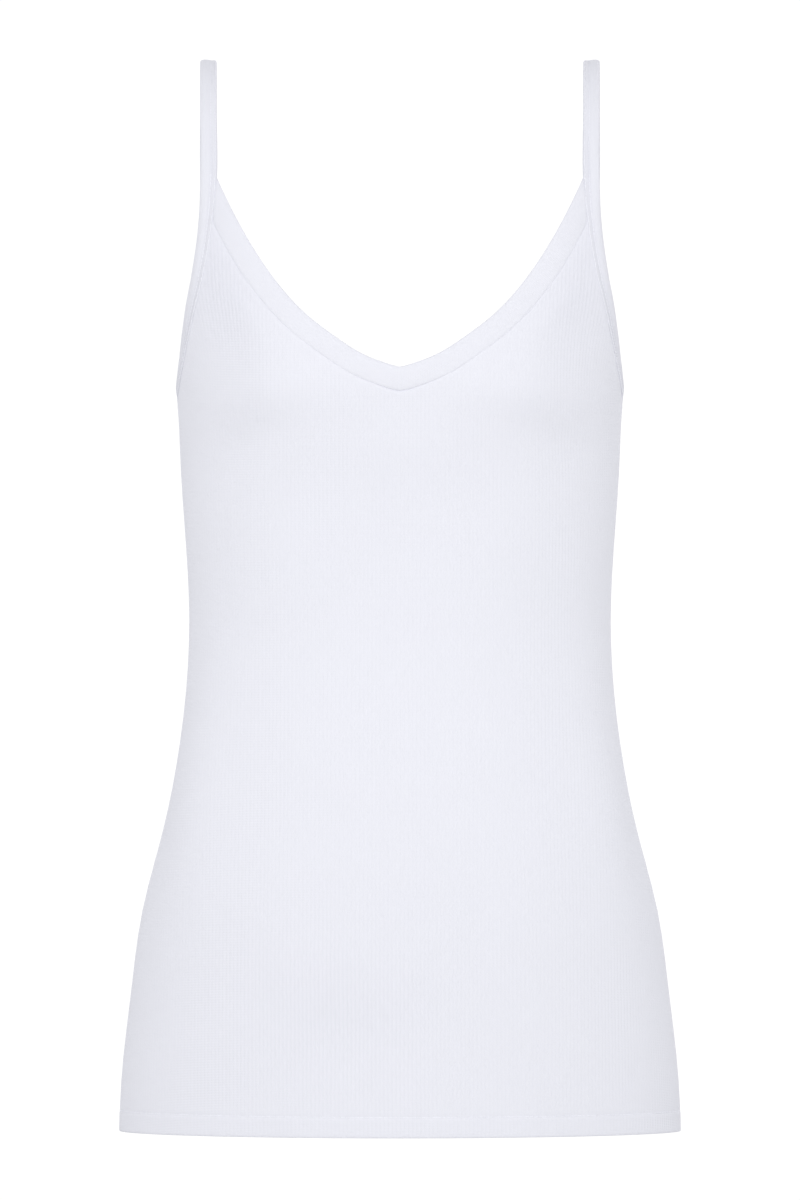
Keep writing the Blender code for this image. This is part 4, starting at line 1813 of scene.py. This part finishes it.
@dataclass
class Strap:
    """One folded strip that binds an armhole and goes on over the shoulder."""

    hand: Hand
    form: Form
    lines: dict[Side, SeamLines]
    arch_stations: int = 84
    join_depth: float = 0.0010
    join_width: float = 0.0300
    wobble: Wobble = Wobble(0.00010, 0.0083, 0.6, 0.0, 0.0171, 0.7)
    stitch_pitch: float = 0.0024
    thread_radius: float = 0.00026
    fine_thread_radius: float = 0.00016
    thread_lift: float = 0.00014
    first_seed: int = 3
    seeds_per_row: int = 4
    knot_share: float = 2 / 3
    shaded: tuple[tuple[float, ...], tuple[float, ...]] = ((-0.062, -0.036), (1.0, 0.15))
    swollen: tuple[tuple[float, ...], tuple[float, ...]] = ((-0.092, -0.068), (1.0, 0.0))

    def edges(self) -> tuple[np.ndarray, np.ndarray]:
        """Draw the strip's inner and outer edge, from the underarm in front to the one behind.

        Returns:
            Points of the inner edge and of the outer edge, on the wearer's left.
        """
        halves, knots = [], []
        for side in (Side.FRONT, Side.BACK):
            lines = self.lines[side]
            pair = self.rolled(lines)
            halves.append(pair)
            _, corner = crossing(lines.neck, lines.inside_armhole(SEAM_GAP))
            last = len(lines.armhole) - 1
            middle = (pair[0] + pair[1]) / 2
            knots.append(at_marks(middle, [corner + (last - corner) * self.knot_share, last]))
        (front_inner, front_outer), (back_inner, back_outer) = halves
        start, end = knots[0], knots[1][::-1]
        over = []
        for point in STRAP_ARCH:
            foot = end[0] if point.y > 0 else start[-1]
            x = CREST_STRAP_X + point.y / foot[1] * (foot[0] - CREST_STRAP_X)
            over.append((x, point.y, point.z))
        knots = np.array([*start, *over, *end])
        run = path_length(knots)
        at = np.linspace(run[1], run[-2], self.arch_stations + 2)[1:-1]
        centre = smooth_curve(run, knots, at)
        place = ((at - run[1]) / (run[-2] - run[1]))[:, None]
        widths = unit(np.array([front_outer[-1] - front_inner[-1], back_outer[-1] - back_inner[-1]]))
        level = np.sin(np.pi * place)
        lean = (1 - level) * ((1 - place) * widths[0] + place * widths[1]) + level * (1.0, 0.0, 0.0)
        half = unit(lean) * STRAP_WIDTH / 2
        inner = np.vstack([front_inner, centre - half, back_inner[::-1]])
        outer = np.vstack([front_outer, centre + half, back_outer[::-1]])
        ease = read_table(STRAP_EASE, "z", "out", outer[:, 2])
        return inner, outer + ease[:, None] * unit(outer - inner)

    @staticmethod
    def rolled(lines: SeamLines) -> tuple[np.ndarray, np.ndarray]:
        """Draw the strip's edges along one armhole edge, rolled in towards the opening.

        Args:
            lines: Pattern lines of the front or the back.

        Returns:
            Points of the inner edge and of the outer edge.
        """
        foot = lines.inside_armhole()
        inner = lines.on_cloth(foot)
        outward = lines.form.facing(lines.side, foot[:, 0], foot[:, 1])
        beside = unit(lines.on_cloth(lines.armhole) - inner)
        roll = np.radians(read_table(BINDINGS, "z", "roll_deg", lines.armhole[:, 1]))[:, None]
        return inner, inner + STRAP_WIDTH * (np.cos(roll) * beside - np.sin(roll) * outward)

    def build(self) -> list[bpy.types.Object]:
        """Make the strap and its stitches.

        Returns:
            The strip, and its rows of stitches as one object.
        """
        inner, outer = self.edges()
        middle = (inner + outer) / 2
        along = path_length(middle)
        face = unit(np.cross(np.gradient(middle, axis=0), inner - outer))
        if face[len(face) // 2, 2] < 0:
            face = -face
        mirror = np.array((self.hand.value, 1, 1))
        join = self.join_depth * fade(np.minimum(along, along[-1] - along), self.join_width)
        wave = self.wobble.at(along, self.hand.value)
        swell = np.interp(middle[:, 2], *self.swollen)
        points, places = [], []
        for point in STRAP_PROFILE:
            lift = point.height(wave, join, swell)
            points.append((inner + point.share * (outer - inner) + lift[:, None] * face) * mirror)
            places.append(point.place(along, STRAP_WIDTH))
        name = f"{self.hand.name.lower()}_strap"
        # The strap's painted shade: its profile's shade column, faded out towards the top by height.
        shade = np.outer([point.shade for point in STRAP_PROFILE], np.interp(middle[:, 2], *self.shaded))
        turn = -self.hand.value
        strip = closed_strip(f"{name}_strip", np.array(points), np.array(places), shade, turn, STRIP)
        rows = []
        free = np.flatnonzero(middle[:, 2] > STRAP_LEAVES_Z)
        spans = (slice(0, free[0] + 1), slice(free[0], free[-1] + 1), slice(free[-1], None))
        radii = (self.thread_radius, self.fine_thread_radius, self.thread_radius)
        for row, share in enumerate(STRAP_STITCH_SHARES):
            point = next(point for point in STRAP_PROFILE if point.share == share)
            depth = point.lift + point.swell * swell - join + self.thread_lift
            path = (inner + share * (outer - inner) + depth[:, None] * face) * mirror
            for part, (span, radius) in enumerate(zip(spans, radii)):
                seed = self.first_seed + self.seeds_per_row * row + part
                sewing = Sewing(self.stitch_pitch, radius, seed)
                rows.append(sew(f"{name}_row", path[span], (face * mirror)[span], sewing))
        return [strip, joined(f"{name}_stitches", rows)]


@dataclass(frozen=True)
class Lamp:
    """One large square lamp: its place, breadth and power."""

    name: str
    place: tuple[float, float, float]
    size: float
    watts: float


class Studio:
    """Camera at the photograph's angle, a pale floor and soft white light."""

    PIXEL = 0.00062
    IMAGE_HEIGHT = 1200
    TOP_ROW = 61
    CREST_Z = 0.0022
    DISTANCE = 7.0
    SENSOR_MM = 36.0
    FLOOR_Z = -0.95
    FLOOR_RADIUS = 3.2
    FLOOR_SIDES = 96
    BACKGROUND = 1.05
    AMBIENT = 1.07
    ZENITH = 0.74
    FLOOR_COLOR = (0.66, 0.66, 0.66)
    FLOOR_GLOW = 1.20
    GLOW_SHARE = 0.75
    LAMPS = (
        Lamp("key", (-0.8, -2.9, -0.1), 1.8, 15.2),
        Lamp("fill", (1.1, -2.9, -0.1), 1.8, 11.0),
        Lamp("rear", (0.4, 2.6, 0.6), 1.8, 16.0),
    )

    def build(self) -> None:
        """Set up the studio."""
        self.camera()
        self.world()
        self.floor()
        for lamp in self.LAMPS:
            self.light(lamp)

    def camera(self) -> None:
        """Look along +Y from the height of the picture's middle row."""
        z = self.CREST_Z - (self.IMAGE_HEIGHT / 2 - self.TOP_ROW) * self.PIXEL
        data = bpy.data.cameras.new("camera")
        data.sensor_width = self.SENSOR_MM
        data.lens = data.sensor_width * self.DISTANCE / (self.IMAGE_HEIGHT * self.PIXEL)
        obj = linked("camera", data)
        obj.location = (0, -self.DISTANCE, z)
        obj.rotation_euler = (math.pi / 2, 0, 0)
        bpy.context.scene.camera = obj

    def world(self) -> None:
        """White all round, dimmer overhead, and a little brighter as seen than as light on the garment."""
        world = bpy.data.worlds.new("white_room")
        world.use_nodes = True
        graph = Graph(world.node_tree)
        seen = graph.node("ShaderNodeBackground", {"Color": (1, 1, 1, 1), "Strength": self.BACKGROUND})
        heading = graph.node("ShaderNodeTexCoord").outputs["Generated"]
        up = graph.math("MAXIMUM", graph.node("ShaderNodeSeparateXYZ", {0: heading}).outputs["Z"], 0.0)
        strength = graph.math("MULTIPLY_ADD", up, self.ZENITH - self.AMBIENT, self.AMBIENT)
        lit = graph.node("ShaderNodeBackground", {"Color": (1, 1, 1, 1), "Strength": strength})
        ray = graph.node("ShaderNodeLightPath").outputs["Is Camera Ray"]
        mixed = graph.node("ShaderNodeMixShader", {0: ray, 1: lit.outputs[0], 2: seen.outputs[0]})
        graph.node("ShaderNodeOutputWorld", {"Surface": mixed.outputs[0]})
        bpy.context.scene.world = world

    def floor(self) -> None:
        """Plain pale floor, well below the garment."""
        shape = bmesh.new()
        sizes = {"segments": self.FLOOR_SIDES, "radius": self.FLOOR_RADIUS}
        bmesh.ops.create_circle(shape, cap_ends=True, **sizes)
        mesh = bpy.data.meshes.new("floor")
        shape.to_mesh(mesh)
        shape.free()
        for vertex in mesh.vertices:
            vertex.co.z = self.FLOOR_Z
        obj = linked("floor", mesh)
        made = bpy.data.materials.new("pale_floor")
        made.use_nodes = True
        graph = Graph(made.node_tree)
        plain = graph.node("ShaderNodeBsdfDiffuse", {"Color": (*self.FLOOR_COLOR, 1)}).outputs[0]
        glow = graph.node("ShaderNodeEmission", {"Strength": self.FLOOR_GLOW}).outputs[0]
        seen = graph.node("ShaderNodeLightPath").outputs["Is Camera Ray"]
        share = graph.math("MULTIPLY", seen, self.GLOW_SHARE)
        mixed = graph.node("ShaderNodeMixShader", {0: share, 1: plain, 2: glow}).outputs[0]
        graph.node("ShaderNodeOutputMaterial", {"Surface": mixed})
        mesh.materials.append(made)

    def light(self, lamp: Lamp) -> None:
        """Hang one lamp so that it looks at the middle of the garment.

        Args:
            lamp: The lamp.
        """
        data = bpy.data.lights.new(lamp.name, "AREA")
        data.shape = "SQUARE"
        data.size = lamp.size
        data.energy = lamp.watts
        obj = linked(lamp.name, data)
        obj.location = lamp.place
        aim = Vector((0, 0, (HEM_Z + self.CREST_Z) / 2)) - Vector(lamp.place)
        obj.rotation_euler = aim.to_track_quat("-Z", "Y").to_euler()
        obj.visible_camera = False


def clear_startup_objects() -> None:
    """Remove what the startup file holds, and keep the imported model."""
    ours = set(frame["nodes"].values()) | set(frame["bodies"].values())
    for obj in list(bpy.data.objects):
        if obj not in ours:
            bpy.data.objects.remove(obj, do_unlink=True)


def dress(obj: bpy.types.Object, replaces: str | None = None) -> None:
    """Make a finished piece ride on the body, in place of its solid where it has one.

    Args:
        obj: The piece.
        replaces: Name of the solid that it stands for.
    """
    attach(obj, BODY)
    if replaces:
        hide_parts(replaces)
    triangles = sum(len(face.vertices) - 2 for face in obj.data.polygons)
    log.info("%s: %d triangles", obj.name, triangles)


def main() -> None:
    """Build the top piece by piece, then the studio round it."""
    logging.basicConfig(level=logging.INFO, format="%(name)s: %(message)s", stream=sys.stdout)
    clear_startup_objects()
    knit_loops_group()
    cloth_tone_group()
    wale_tree()
    stitch_tree()
    form = Form()
    lines = {side: SeamLines(form, side) for side in Side}
    for hand in Hand:
        strip, stitches = Strap(hand, form, lines).build()
        dress(strip, replaces=f"{hand.name.lower()}_strap")
        dress(stitches)
    for side in Side:
        name = side.name.lower()
        panel = BodyPanel(side, form, lines[side])
        knit = panel.build()
        dress(knit, replaces=f"{name}_panel")
        hem = sew(f"{name}_hem_stitches", *panel.hem_path(), HEM_SEWING)
        dress(hem)
        band = NeckBand(side, form, lines[side]).build()
        dress(band, replaces=f"{name}_neck_band")
    Studio().build()
    bpy.context.scene.view_settings.view_transform = "Standard"


if __name__ == "__main__":
    main()
